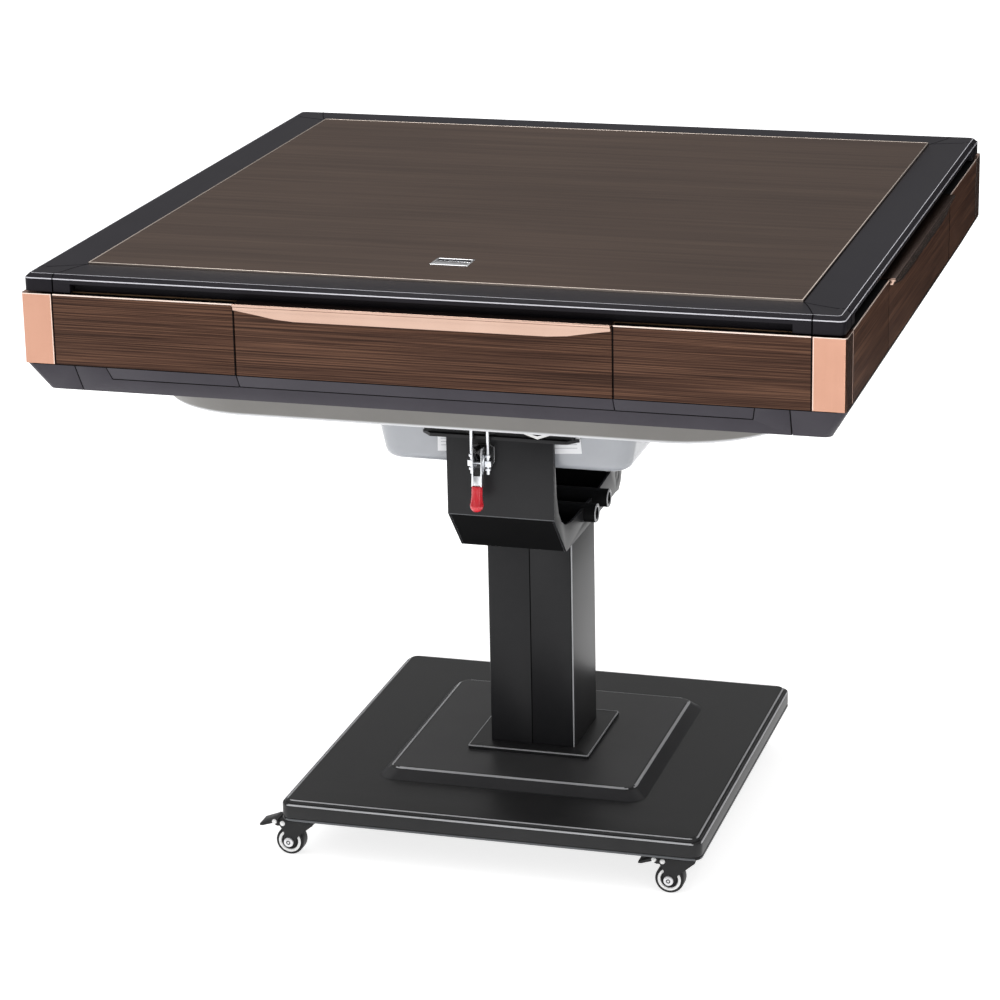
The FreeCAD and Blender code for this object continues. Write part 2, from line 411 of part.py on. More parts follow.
cap = hump.common(box(-200, 200, -200, 200, PLATEAU_Z - 2.5, PLATEAU_Z + 1))
ring = hump.common(box(-200, 200, -200, 200, BASE_Z1, PLATEAU_Z - 2.5)).cut(hollow)
RC, HC, D = BASE_HALF - 14.0, 142.0, 300.0
wedge = prism_z([(0, 0), (-D, -D), (D, -D)], S - 1, BASE_Z1 + 1)
pieces = [cap]
for k in range(4):
    pieces.append(rim.common(turn(box(-RC, RC, -D, -200, BASE_Z0 - 1, S + 1), k)))
    pieces.append(rim.common(turn(box(RC, D, -D, -RC, BASE_Z0 - 1, S + 1), k)))
    pieces.append(top_skin.common(turn(wedge, k)))
    pieces.append(ring.common(turn(box(-HC, HC, -200, -HC, BASE_Z1, PLATEAU_Z), k)))
    pieces.append(ring.common(turn(box(HC, 200, -200, -HC, BASE_Z1, PLATEAU_Z), k)))
save("base_cover", pieces)
bp = rslab(BASE_HALF - 2.8, BASE_HALF - 2.8, 11.7, BASE_Z0, BASE_Z0 + 12)
stiff = rslab(60, 60, 3, BASE_Z0 + 12, PLATEAU_Z - 2.5).cut(rslab(50, 50, 2, BASE_Z0 + 11, PLATEAU_Z))
save("base_plate", fuse(bp, stiff))

# bolts that hold column foot and saddle, heads above the plates
bolts = []
for sx in (-1, 1):
    for sy in (-1, 1):
        hx = Part.Face(Part.makePolygon([V(sx * 36 + 7.5 * math.cos(math.radians(60 * i)), sy * 30 + 7.5 * math.sin(math.radians(60 * i)), 385.0) for i in range(7)])).extrude(V(0, 0, 5))
        bolts.append(hx)
save("hinge_pin_and_bolts", [pin] + bolts)

# ================================================================ clamp
cx = CLAMP_X
base_pl = poly([(cx - 14.6, -177.0, 508), (cx - 14.6, -177.0, 526.4), (cx - 8.4, -177.0, 529.8), (cx + 8.4, -177.0, 529.8), (cx + 14.6, -177.0, 526.4), (cx + 14.6, -177.0, 508), (cx + 8.4, -177.0, 499.2), (cx - 8.4, -177.0, 499.2)], (0, -2.0, 0))
ears = []
for s in (-1, 1):
    x0 = cx + 2.2 if s > 0 else cx - 4.2
    ears.append(prism_x([(-178.5, 504), (-178.5, 528.5), (-192, 531.0), (-200, 529.5), (-201, 525.0), (-198, 519.5), (-184, 507)], x0, x0 + 2.0))
cb = fuse(base_pl, ears[0], ears[1], cyl(2.6, (cx - 7.4, CLAMP_Y, CLAMP_Z), (1, 0, 0), 14.8))
save("clamp_base", cb)
lev = []
for s in (-1, 1):
    x0 = cx + 4.6 if s > 0 else cx - 6.4
    side = prism_x([(-192.0, 531.0), (-200.0, 531.0), (-203.0, 525.0), (-204.5, 503.0), (-206.6, 484.0), (-200.4, 484.0), (-197.0, 501.0), (-186.8, 507.0), (-186.8, 514.0)], x0, x0 + 1.8)
    lev.append(side)
tongue = prism_x([(-203.8, 497.0), (-205.6, 483.0), (-208.2, 457.5), (-204.0, 457.5), (-201.4, 483.0), (-200.0, 497.0)], cx - 6.4, cx + 6.4)
lever = fuse(lev[0], lev[1], tongue)
lever = lever.cut(cyl(2.66, (cx - 20, CLAMP_Y, CLAMP_Z), (1, 0, 0), 40)).cut(cyl(2.06, (cx - 20, TRUNNION_Y, TRUNNION_Z), (1, 0, 0), 40))
save("clamp_lever", lever)
gp = fuse(Part.makeSphere(8.3, V(cx, -206.8, 461.3)),
          Part.makeLoft([Part.Wire(Part.Ellipse(V(cx, -203.9, 485.2), 6.6, 5.2).toShape()), Part.Wire(Part.Ellipse(V(cx, -205.4, 472.4), 6.8, 5.8).toShape()), Part.Wire(Part.Ellipse(V(cx, -206.8, 461.7), 8.2, 7.8).toShape())], True, False))
gp = gp.cut(lever)
save("clamp_grip", gp)
hook = []
for s in (-1, 1):
    hook.append(cyl(ROD_R, (cx + s * ROD_DX, TRUNNION_Y, 496.0), (0, 0, 1), 65.0))
    hook.append(Part.makeCylinder(3.6, 3.0, V(cx + s * ROD_DX, TRUNNION_Y, 517.5), V(0, 0, 1)))
    hook.append(Part.makeCylinder(3.6, 3.0, V(cx + s * ROD_DX, TRUNNION_Y, 501.0), V(0, 0, 1)))
    xa, xb = sorted((cx + s * 7.0, cx + s * 14.6))
    hook.append(box(xa, xb, TRUNNION_Y - 3.2, TRUNNION_Y + 3.2, TRUNNION_Z - 3.6, TRUNNION_Z + 3.6))
hook.append(cyl(ROD_R, (cx - ROD_DX, TRUNNION_Y, 561.0), (1, 0, 0), 2 * ROD_DX))
hook.append(Part.makeSphere(ROD_R, V(cx - ROD_DX, TRUNNION_Y, 561.0)))
hook.append(Part.makeSphere(ROD_R, V(cx + ROD_DX, TRUNNION_Y, 561.0)))
hook.append(cyl(2.0, (cx - 7.1, TRUNNION_Y, TRUNNION_Z), (1, 0, 0), 14.2))
save("clamp_hook", fuse(*hook))

# ================================================================ casters
plates = []
for sy, yn in ((-1, "front"), (1, "rear")):
    for sx, xn in ((-1, "left"), (1, "right")):
        ox, oy = sx * CASTER, sy * CASTER
        top = rslab(17, 17, 4, BASE_Z0 - 2.4, BASE_Z0, ox, oy).fuse(cyl(9.0, (ox, oy, BASE_Z0 - 5.4), (0, 0, 1), 3.1)).fuse(cyl(4.0, (ox, oy, 38.5), (0, 0, 1), 10))
        plates.append(top.removeSplitter())
        fork = cyl(13.0, (ox, oy, 41.0), (0, 0, 1), 4.9)
        for s in (-1, 1):
            y0 = oy + 10.2 if s > 0 else oy - 12.2
            side = [(ox + 15.5, y0, 45.9), (ox + 14.5, y0, 43.4), (ox - 7, y0, 25.0), (ox - TRAIL + 5, y0, 13.5), (ox - TRAIL - 4, y0, 12.5), (ox - TRAIL - 7, y0, 18), (ox - TRAIL - 6, y0, 30)]
            side += [(ox - 29.6, y0, 39.2), (ox - 29.6, y0, 44.6), (ox - 27.5, y0, 45.9)] if yn == "front" else [(ox - 24, y0, 45.9)]
            fork = fork.fuse(poly(side, (0, 2.0, 0)))
        fork = fork.fuse(box(ox - 15, ox + 13, oy - 12.2, oy + 12.2, 41.6, 45.9))
        fork = fork.fuse(cyl(3.0, (ox - TRAIL, oy - 14.4, WHEEL_R), (0, 1, 0), 28.8))
        for s in (-1, 1):
            y0 = oy + 12.2 if s > 0 else oy - 14.6
            fork = fork.fuse(cyl(5.0, (ox - TRAIL, y0, WHEEL_R), (0, 1, 0), 2.4))
        if yn == "front":
            fork = fork.fuse(cyl(1.6, (ox - PIN_X, oy - 12.6, PIN_Z), (0, 1, 0), 25.2))
        fork = fork.cut(cyl(4.06, (ox, oy, 30), (0, 0, 1), 30)).removeSplitter()
        save(yn + "_" + xn + "_fork", fork)
        wheel = cyl(WHEEL_R, (ox - TRAIL, oy - WHEEL_W / 2, WHEEL_R), (0, 1, 0), WHEEL_W).cut(cyl(3.06, (ox - TRAIL, oy - 20, WHEEL_R), (0, 1, 0), 40))
        wheel = wheel.makeFillet(3.0, [e for e in wheel.Edges if e.Length > 100])
        save(yn + "_" + xn + "_wheel", wheel)
        if yn == "front":
            hub = poly([(ox - 20.0, oy - 9.8, 45.4), (ox - 34.0, oy - 9.8, 46.2), (ox - 40.0, oy - 9.8, 44.6), (ox - 39.0, oy - 9.8, 39.8), (ox - 34.0, oy - 9.8, 37.2), (ox - 30.0, oy - 9.8, 37.4), (ox - 20.0, oy - 9.8, 41.2)], (0, 19.6, 0))
            tread = poly([(ox - 31.0, oy - 12.2, 47.6), (ox - 36.0, oy - 12.2, 47.2), (ox - 56.0, oy - 12.2, 39.4), (ox - 56.0, oy - 12.2, 36.8), (ox - 52.0, oy - 12.2, 37.0), (ox - 38.0, oy - 12.2, 41.4), (ox - 31.0, oy - 12.2, 43.2)], (0, 24.4, 0))
            ped = fuse(hub, tread).cut(cyl(1.66, (ox - PIN_X, oy - 20, PIN_Z), (0, 1, 0), 40))
            save(yn + "_" + xn + "_brake", ped)
save("caster_plates", plates)
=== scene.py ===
import bpy
import bmesh
import json
import math
from mathutils import Matrix, Vector

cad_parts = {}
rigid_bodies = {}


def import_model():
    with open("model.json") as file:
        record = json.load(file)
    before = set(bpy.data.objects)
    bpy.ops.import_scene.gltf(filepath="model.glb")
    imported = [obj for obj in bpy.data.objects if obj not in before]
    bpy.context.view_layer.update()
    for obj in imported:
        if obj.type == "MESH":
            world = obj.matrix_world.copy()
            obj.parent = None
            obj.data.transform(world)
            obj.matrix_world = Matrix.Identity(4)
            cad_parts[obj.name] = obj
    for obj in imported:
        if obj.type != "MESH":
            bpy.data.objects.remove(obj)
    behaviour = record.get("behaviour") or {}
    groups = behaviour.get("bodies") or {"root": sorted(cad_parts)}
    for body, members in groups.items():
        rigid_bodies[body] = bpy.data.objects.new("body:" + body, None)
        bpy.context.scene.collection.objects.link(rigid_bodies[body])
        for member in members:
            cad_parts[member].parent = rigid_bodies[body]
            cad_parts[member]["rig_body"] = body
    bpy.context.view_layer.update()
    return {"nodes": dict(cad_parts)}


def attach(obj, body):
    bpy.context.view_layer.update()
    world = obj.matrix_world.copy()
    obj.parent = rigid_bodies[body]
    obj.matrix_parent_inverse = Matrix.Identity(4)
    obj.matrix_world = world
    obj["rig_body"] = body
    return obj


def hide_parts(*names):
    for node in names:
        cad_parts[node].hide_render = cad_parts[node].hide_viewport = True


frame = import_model()
NODE = frame["nodes"]
SCENE = bpy.context.scene
MM = 0.001

# ------------------------------------------------------------------ camera
CAM = Vector((1.0984, -3.8698, 1.7075))
YAW, PITCH, ROLL = 0.2893, -0.3131, -0.0204
fwd = Vector((-math.sin(YAW) * math.cos(PITCH), math.cos(YAW) * math.cos(PITCH), math.sin(PITCH)))
right = Vector((math.cos(YAW), math.sin(YAW), 0.0))
up = right.cross(fwd)
cx_ = math.cos(ROLL) * right + math.sin(ROLL) * up
cy_ = -math.sin(ROLL) * right + math.cos(ROLL) * up
cam_data = bpy.data.cameras.new("camera")
cam_data.sensor_width = 36.0
cam_data.sensor_fit = "HORIZONTAL"
cam_data.lens = 120.87
cam_data.clip_start = 0.05
cam_data.clip_end = 60.0
cam = bpy.data.objects.new("camera", cam_data)
SCENE.collection.objects.link(cam)
cam.matrix_world = Matrix((
    (cx_.x, cy_.x, -fwd.x, CAM.x),
    (cx_.y, cy_.y, -fwd.y, CAM.y),
    (cx_.z, cy_.z, -fwd.z, CAM.z),
    (0, 0, 0, 1)))
SCENE.camera = cam


# ------------------------------------------------------------------ materials
def srgb(r, g, b):
    out = []
    for c in (r, g, b):
        c = c / 255.0
        out.append(c / 12.92 if c <= 0.04045 else ((c + 0.055) / 1.055) ** 2.4)
    return (out[0], out[1], out[2], 1.0)


class Mat:
    """Small helper for a node material on one Principled shader."""

    def __init__(self, name, rough=0.5, metal=0.0, base=(0.5, 0.5, 0.5, 1.0)):
        self.m = bpy.data.materials.new(name)
        self.m.use_nodes = True
        self.nt = self.m.node_tree
        self.b = self.nt.nodes["Principled BSDF"]
        self.b.inputs["Roughness"].default_value = rough
        self.b.inputs["Metallic"].default_value = metal
        self.b.inputs["Base Color"].default_value = base
        self.co = self.nt.nodes.new("ShaderNodeTexCoord").outputs["Object"]

    def set(self, **kw):
        for k, v in kw.items():
            self.b.inputs[k.replace("_", " ")].default_value = v
        return self

    def node(self, kind, **kw):
        n = self.nt.nodes.new(kind)
        for k, v in kw.items():
            setattr(n, k, v)
        return n

    def link(self, a, b):
        self.nt.links.new(a, b)

    def mapped(self, scale=(1, 1, 1), rot=(0, 0, 0), loc=(0, 0, 0)):
        n = self.node("ShaderNodeMapping")
        n.inputs["Scale"].default_value = scale
        n.inputs["Rotation"].default_value = rot
        n.inputs["Location"].default_value = loc
        self.link(self.co, n.inputs["Vector"])
        return n.outputs["Vector"]

    def noise(self, vec, scale=5.0, detail=4.0, rough=0.5, dist=0.0):
        n = self.node("ShaderNodeTexNoise")
        n.inputs["Scale"].default_value = scale
        n.inputs["Detail"].default_value = detail
        n.inputs["Roughness"].default_value = rough
        n.inputs["Distortion"].default_value = dist
        self.link(vec, n.inputs["Vector"])
        return n.outputs["Fac"]

    def ramp(self, fac, stops):
        n = self.node("ShaderNodeValToRGB")
        e = n.color_ramp.elements
        while len(e) < len(stops):
            e.new(0.5)
        for i, (p, c) in enumerate(stops):
            e[i].position = p
            e[i].color = c
        self.link(fac, n.inputs["Fac"])
        return n.outputs["Color"]

    def mix(self, a, b, fac, mode="MIX"):
        n = self.node("ShaderNodeMix", data_type="RGBA", blend_type=mode)
        for sock, v in ((n.inputs[6], a), (n.inputs[7], b), (n.inputs[0], fac)):
            if isinstance(v, bpy.types.NodeSocket):
                self.link(v, sock)
            else:
                sock.default_value = v
        return n.outputs[2]

    def math(self, op, a, b=0.0):
        n = self.node("ShaderNodeMath", operation=op)
        for sock, v in ((n.inputs[0], a), (n.inputs[1], b)):
            if isinstance(v, bpy.types.NodeSocket):
                self.link(v, sock)
            else:
                sock.default_value = v
        return n.outputs[0]

    def range(self, v, lo, hi):
        n = self.node("ShaderNodeMapRange")
        n.inputs["To Min"].default_value = lo
        n.inputs["To Max"].default_value = hi
        self.link(v, n.inputs["Value"])
        return n.outputs["Result"]

    def range_in(self, v, lo, hi):
        n = self.node("ShaderNodeMapRange")
        n.inputs["From Min"].default_value = lo
        n.inputs["From Max"].default_value = hi
        self.link(v, n.inputs["Value"])
        return n.outputs["Result"]

    def color(self, c):
        self.link(c, self.b.inputs["Base Color"])
        return self

    def rough(self, v):
        self.link(v, self.b.inputs["Roughness"])
        return self

    def bump(self, h, strength=0.2, dist=0.0005):
        n = self.node("ShaderNodeBump")
        n.inputs["Strength"].default_value = strength
        n.inputs["Distance"].default_value = dist
        self.link(h, n.inputs["Height"])
        self.link(n.outputs["Normal"], self.b.inputs["Normal"])
        return self


def plain(name, c0, c1, rough=(0.4, 0.5), metal=0.0, grain=900.0, bump=0.08, spots=14.0, dist=0.0002):
    """Moulded or coated surface: slight colour drift, fine texture, uneven gloss."""
    m = Mat(name, metal=metal)
    big = m.noise(m.co, spots, 4.0, 0.6)
    fine = m.noise(m.co, grain, 2.0, 0.5)
    m.color(m.ramp(big, [(0.3, c0), (0.7, c1)]))
    m.rough(m.range(m.mix(big, fine, 0.35), rough[0], rough[1]))
    m.bump(fine, bump, dist)
    return m


def wood_top():
    m = Mat("wood_top")
    warp = m.noise(m.mapped((1.4, 3.0, 1.0)), 2.0, 2.0, 0.5)
    broad = m.noise(m.mapped((0.55, 9.0, 1.0), loc=(3.1, 1.7, 0.0)), 2.6, 4.0, 0.62, 0.25)
    mid = m.noise(m.mapped((0.8, 42.0, 1.0)), 3.0, 5.0, 0.62, 0.15)
    fine = m.noise(m.mapped((5.0, 420.0, 1.0)), 2.2, 3.0, 0.6)
    body = m.ramp(broad, [(0.30, srgb(58, 48, 43)), (0.45, srgb(67, 56, 50)), (0.56, srgb(73, 61, 54)), (0.72, srgb(83, 70, 61))])
    streak = m.ramp(mid, [(0.36, srgb(47, 38, 35)), (0.50, srgb(69, 57, 51)), (0.66, srgb(88, 74, 65))])
    pores = m.ramp(fine, [(0.34, srgb(50, 41, 37)), (0.48, srgb(71, 59, 53)), (0.7, srgb(86, 73, 65))])
    c = m.mix(body, streak, 0.42)
    c = m.mix(c, pores, 0.30)
    c = m.mix(c, m.ramp(warp, [(0.3, srgb(61, 51, 46)), (0.7, srgb(77, 64, 57))]), 0.25)
    m.color(c)
    m.rough(m.range(fine, 0.44, 0.56))
    m.set(Specular_IOR_Level=0.05)
    m.bump(m.mix(mid, fine, 0.7), 0.10, 0.0002)
    return m


def wood_side(name, along_x):
    m = Mat(name)
    if along_x:
        s1, s2, s3, s4 = (1.7, 1.0, 350.0), (4.0, 1.0, 700.0), (1.4, 1.0, 60.0), (14.0, 1.0, 1200.0)
    else:
        s1, s2, s3, s4 = (1.0, 1.7, 350.0), (1.0, 4.0, 700.0), (1.0, 1.4, 60.0), (1.0, 14.0, 1200.0)
    lines = m.noise(m.mapped(s1), 2.0, 3.0, 0.6, 0.12)
    thin = m.noise(m.mapped(s2, loc=(2.0, 5.0, 1.0)), 2.0, 3.0, 0.6, 0.1)
    broad = m.noise(m.mapped(s3, loc=(7.0, 1.0, 4.0)), 2.0, 3.0, 0.6, 0.3)
    pore = m.noise(m.mapped(s4), 2.0, 2.0, 0.5)
    a = m.ramp(lines, [(0.38, srgb(18, 9, 7)), (0.45, srgb(52, 33, 25)), (0.52, srgb(80, 55, 44)), (0.63, srgb(130, 94, 73))])
    b = m.ramp(thin, [(0.39, srgb(30, 17, 13)), (0.5, srgb(73, 50, 40)), (0.62, srgb(116, 84, 66))])
    d = m.ramp(broad, [(0.32, srgb(62, 41, 33)), (0.55, srgb(86, 61, 50)), (0.72, srgb(102, 76, 61))])
    c = m.mix(a, b, 0.36)
    c = m.mix(c, d, 0.16)
    c = m.mix(c, m.ramp(pore, [(0.4, srgb(56, 37, 30)), (0.6, srgb(92, 67, 55))]), 0.10)
    m.color(c)
    m.rough(m.range(lines, 0.44, 0.56))
    m.set(Specular_IOR_Level=0.08)
    m.bump(m.mix(lines, thin, 0.5), 0.30, 0.0004)
    return m


def brushed(name, c0, c1, rough=(0.22, 0.32), along="z", metal=1.0, bump=0.06):
    m = Mat(name, metal=metal)
    k = {"z": (900.0, 900.0, 8.0), "x": (8.0, 900.0, 900.0), "y": (900.0, 8.0, 900.0)}[along]
    lines = m.noise(m.mapped(k), 1.0, 3.0, 0.6)
    big = m.noise(m.co, 18.0, 3.0, 0.5)
    m.color(m.ramp(m.mix(big, lines, 0.4), [(0.35, c0), (0.65, c1)]))
    m.rough(m.range(lines, rough[0], rough[1]))
    m.bump(lines, bump, 0.0001)
    return m


M_TOP = wood_top()
M_SIDE_X = wood_side("wood_side_front", True)
M_SIDE_Y = wood_side("wood_side_right", False)
M_BEZEL = plain("bezel_plastic", srgb(29, 27, 32), srgb(34, 32, 37), (0.40, 0.50), grain=1400.0, bump=0.04).set(Specular_IOR_Level=0.10)
M_SKIRT = plain("skirt_plastic", srgb(55, 52, 59), srgb(61, 58, 65), (0.44, 0.54), grain=1600.0, bump=0.06).set(Specular_IOR_Level=0.2)
M_ROSE = brushed("rose_metal", srgb(187, 141, 120), srgb(195, 149, 128), (0.20, 0.27), "z")
M_ROSE_PULL = brushed("rose_metal_pull", srgb(190, 159, 143), srgb(197, 167, 151), (0.16, 0.22), "x")
M_BLACK = plain("black_steel", srgb(33, 33, 35), srgb(38, 38, 40), (0.30, 0.38), grain=1500.0, bump=0.05).set(Specular_IOR_Level=0.22)
# painted highlight: a near-white colour for thin light lines along black steel edges
M_PAINTED_EDGE_HIGHLIGHT = plain("black_steel_painted_highlight", srgb(176, 177, 180), srgb(192, 193, 196), (0.28, 0.36), grain=1500.0, bump=0.03).set(Specular_IOR_Level=0.3)
# dimmer painted highlight: a grey colour for fainter light lines along black steel edges
M_PAINTED_SOFT_HIGHLIGHT = plain("black_steel_painted_soft_highlight", srgb(92, 94, 97), srgb(104, 106, 109), (0.28, 0.36), grain=1500.0, bump=0.03).set(Specular_IOR_Level=0.25)
# painted shade: a near-black colour for faces inside the saddle, the cross tubes and the mount frame, where shade falls
M_PAINTED_SHADE_INSIDE = plain("painted_shade_inside", srgb(12, 12, 13), srgb(16, 16, 17), (0.55, 0.65)).set(Specular_IOR_Level=0.08)
# dark joints, and painted shade where it lies on the panels' tops under the bezel
M_SEAM_AND_SHADE = plain("seam_shadow", srgb(9, 9, 10), srgb(13, 12, 13), (0.60, 0.70)).set(Specular_IOR_Level=0.05)
# painted highlight: a near-white colour for the light lines round the bezel's outer edges
M_GLINT = plain("bezel_painted_highlight", srgb(206, 205, 212), srgb(218, 217, 224), (0.28, 0.36), grain=1400.0, bump=0.03).set(Specular_IOR_Level=0.3)
# painted highlight: a near-white rose colour for light lines on the rose metal's edges
M_ROSE_PAINTED_HIGHLIGHT = plain("rose_painted_highlight", srgb(246, 222, 208), srgb(250, 230, 218), (0.22, 0.30), grain=1400.0, bump=0.03).set(Metallic=0.3)
M_BASE = plain("black_steel_base", srgb(37, 37, 38), srgb(43, 43, 44), (0.34, 0.42), grain=1300.0, bump=0.05).set(Specular_IOR_Level=0.25)
# painted light: a lighter copy of the base steel for the top of the base's raised middle
M_BASE_PAINTED_LIGHT_TOP = plain("black_steel_plateau_painted_light", srgb(60, 60, 61), srgb(67, 67, 68), (0.34, 0.42), grain=1300.0, bump=0.05).set(Specular_IOR_Level=0.25)
M_TUBE = plain("black_steel_tube", srgb(30, 30, 32), srgb(36, 36, 38), (0.16, 0.22), grain=1500.0, bump=0.04).set(Specular_IOR_Level=0.6)
# painted light: a lighter copy of the base steel for the slant round the base's raised middle
M_BASE_PAINTED_LIGHT_SLANT = plain("black_steel_slant_painted_light", srgb(50, 50, 52), srgb(57, 57, 59), (0.34, 0.42), grain=1300.0, bump=0.05).set(Specular_IOR_Level=0.25)
M_PAN = Mat("pan_plastic")
_sep = M_PAN.node("ShaderNodeSeparateXYZ")
M_PAN.link(M_PAN.co, _sep.inputs[0])
# a much lighter band near the pan's rounded bottom edge, chosen by height: a painted highlight
_pan_painted_highlight = M_PAN.ramp(M_PAN.range_in(_sep.outputs["Z"], 0.600, 0.616), [(0.30, (0, 0, 0, 1)), (0.44, (1, 1, 1, 1)), (0.66, (1, 1, 1, 1)), (0.82, (0, 0, 0, 1))])
_drift = M_PAN.noise(M_PAN.co, 14.0, 4.0, 0.6)
_fine = M_PAN.noise(M_PAN.co, 700.0, 2.0, 0.5)
M_PAN.color(M_PAN.mix(M_PAN.ramp(_drift, [(0.3, srgb(108, 106, 103)), (0.7, srgb(115, 113, 110))]), M_PAN.ramp(_drift, [(0.3, srgb(204, 205, 208)), (0.7, srgb(212, 213, 216))]), _pan_painted_highlight))
M_PAN.rough(M_PAN.range(M_PAN.mix(_drift, _fine, 0.35), 0.34, 0.44))
M_PAN.bump(_fine, 0.05, 0.0002)
M_TUB = plain("tub_plastic", srgb(164, 167, 173), srgb(172, 175, 181), (0.12, 0.18), grain=700.0, bump=0.03).set(Specular_IOR_Level=0.9)
M_ZINC = brushed("zinc_steel", srgb(224, 226, 230), srgb(236, 238, 242), (0.24, 0.34), "z")
M_ZINC_DOT = brushed("zinc_bolt", srgb(226, 226, 228), srgb(240, 240, 242), (0.30, 0.40), "z", metal=0.6)
M_CLAMP = plain("clamp_dark", srgb(46, 46, 48), srgb(54, 54, 56), (0.30, 0.38), grain=1200.0, bump=0.03).set(Metallic=0.4)
# painted highlight: a near-white colour for the clamp base's edges and its right-facing faces
M_CLAMP_PAINTED_HIGHLIGHT = plain("clamp_painted_highlight", srgb(226, 227, 230), srgb(236, 237, 240), (0.24, 0.32), grain=1200.0, bump=0.02)
M_CHROME = brushed("chrome", srgb(220, 220, 222), srgb(232, 232, 234), (0.10, 0.18), "x", bump=0.02)
M_EDGE = brushed("edging_metal", srgb(222, 206, 194), srgb(232, 218, 206), (0.26, 0.34), "x")
M_RED = plain("red_grip", srgb(222, 40, 54), srgb(230, 52, 64), (0.22, 0.30), grain=600.0, bump=0.03).set(Coat_Weight=0.3, Coat_Roughness=0.15)
M_TYRE = plain("tyre", srgb(22, 22, 23), srgb(30, 30, 31), (0.40, 0.52), grain=1200.0, bump=0.12).set(Specular_IOR_Level=0.3)
M_WHITE = plain("white_plastic", srgb(244, 244, 244), srgb(250, 250, 250), (0.32, 0.42), grain=900.0, bump=0.04)
M_CASTER = plain("caster_black", srgb(30, 30, 31), srgb(37, 37, 38), (0.32, 0.42), grain=1000.0, bump=0.05).set(Specular_IOR_Level=0.25)
M_LABEL = plain("label", srgb(240, 241, 244), srgb(246, 247, 250), (0.40, 0.50), grain=500.0, bump=0.02)
M_LINE = plain("label_line", srgb(168, 170, 176), srgb(178, 180, 186), (0.45, 0.55))
M_INNER = plain("inner_plastic", srgb(150, 150, 152), srgb(164, 164, 166), (0.45, 0.55))
M_BOARD = plain("fibreboard", srgb(150, 118, 86), srgb(170, 136, 102), (0.75, 0.85), grain=500.0, bump=0.3, spots=60.0)
M_TRAY = plain("tray_plastic", srgb(40, 39, 43), srgb(50, 49, 54), (0.45, 0.55))
M_BUTTON = plain("button_red", srgb(178, 30, 34), srgb(192, 38, 42), (0.2, 0.3))
M_BUTTON2 = plain("button_grey", srgb(170, 172, 176), srgb(186, 188, 192), (0.2, 0.3))
M_CONSOLE = plain("console_plastic", srgb(34, 34, 38), srgb(42, 42, 46), (0.16, 0.24), grain=1200.0, bump=0.02)
M_SWITCH = plain("switch_red", srgb(168, 24, 26), srgb(182, 30, 32), (0.25, 0.35))
M_SOCKET = plain("socket_black", srgb(22, 22, 23), srgb(28, 28, 29), (0.35, 0.45))


def cloth():
    m = Mat("mat_cloth")
    w1 = m.node("ShaderNodeTexWave", wave_type="BANDS", bands_direction="X")
    w1.inputs["Scale"].default_value = 260.0
    m.link(m.co, w1.inputs["Vector"])
    w2 = m.node("ShaderNodeTexWave", wave_type="BANDS", bands_direction="Y")
    w2.inputs["Scale"].default_value = 260.0
    m.link(m.co, w2.inputs["Vector"])
    weave = m.math("MULTIPLY", w1.outputs["Fac"], w2.outputs["Fac"])
    fuzz = m.noise(m.co, 900.0, 3.0, 0.6)
    big = m.noise(m.co, 7.0, 3.0, 0.5)
    c = m.ramp(m.mix(weave, fuzz, 0.6), [(0.2, srgb(22, 84, 92)), (0.7, srgb(40, 122, 128))])
    c = m.mix(c, m.ramp(big, [(0.3, srgb(26, 92, 100)), (0.7, srgb(36, 112, 118))]), 0.4)
    m.color(c)
    m.set(Roughness=0.9, Sheen_Weight=0.4, Sheen_Roughness=0.5)
    m.bump(m.mix(weave, fuzz, 0.5), 0.35, 0.0005)
    return m


M_CLOTH = cloth()


def clear():
    m = Mat("dome_clear", rough=0.05)
    m.color(m.ramp(m.noise(m.co, 30.0, 2.0), [(0.3, (0.93, 0.95, 0.97, 1)), (0.7, (0.97, 0.98, 1.0, 1))]))
    m.set(Transmission_Weight=0.9, IOR=1.46)
    return m


M_DOME = clear()


# ------------------------------------------------------------------ mesh helpers
def add(name, bm, mat, body, repl=(), bevel=0.0, segs=3, angle=30.0, smooth=True, sharp=50.0):
    """Turn a bmesh into a piece of the object that rides on a body."""
    bmesh.ops.recalc_face_normals(bm, faces=bm.faces)
    me = bpy.data.meshes.new(name)
    bm.to_mesh(me)
    bm.free()
    o = bpy.data.objects.new(name, me)
    SCENE.collection.objects.link(o)
    me.materials.append(mat.m if isinstance(mat, Mat) else mat)
    finish_mesh(o, bevel, segs, angle, smooth, sharp)
    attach(o, body)
    if repl:
        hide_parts(*([repl] if isinstance(repl, str) else repl))
    return o


def finish_mesh(o, bevel=0.0, segs=3, angle=30.0, smooth=True, sharp=50.0):
    if smooth:
        for p in o.data.polygons:
            p.use_smooth = True
        if bevel <= 0:
            o.data.set_sharp_from_angle(angle=math.radians(sharp))
    if bevel > 0:
        b = o.modifiers.new("bevel", "BEVEL")
        b.width = bevel
        b.segments = segs
        b.limit_method = "ANGLE"
        b.angle_limit = math.radians(angle)
        b.use_clamp_overlap = True
        b.harden_normals = True
        b.miter_outer = "MITER_ARC"


def islands(bm):
    seen, out = set(), []
    for v in bm.verts:
        if v in seen:
            continue
        st, grp = [v], []
        seen.add(v)
        while st:
            a = st.pop()
            grp.append(a)
            for e in a.link_edges:
                b = e.other_vert(a)
                if b not in seen:
                    seen.add(b)
                    st.append(b)
        out.append(grp)
    return out


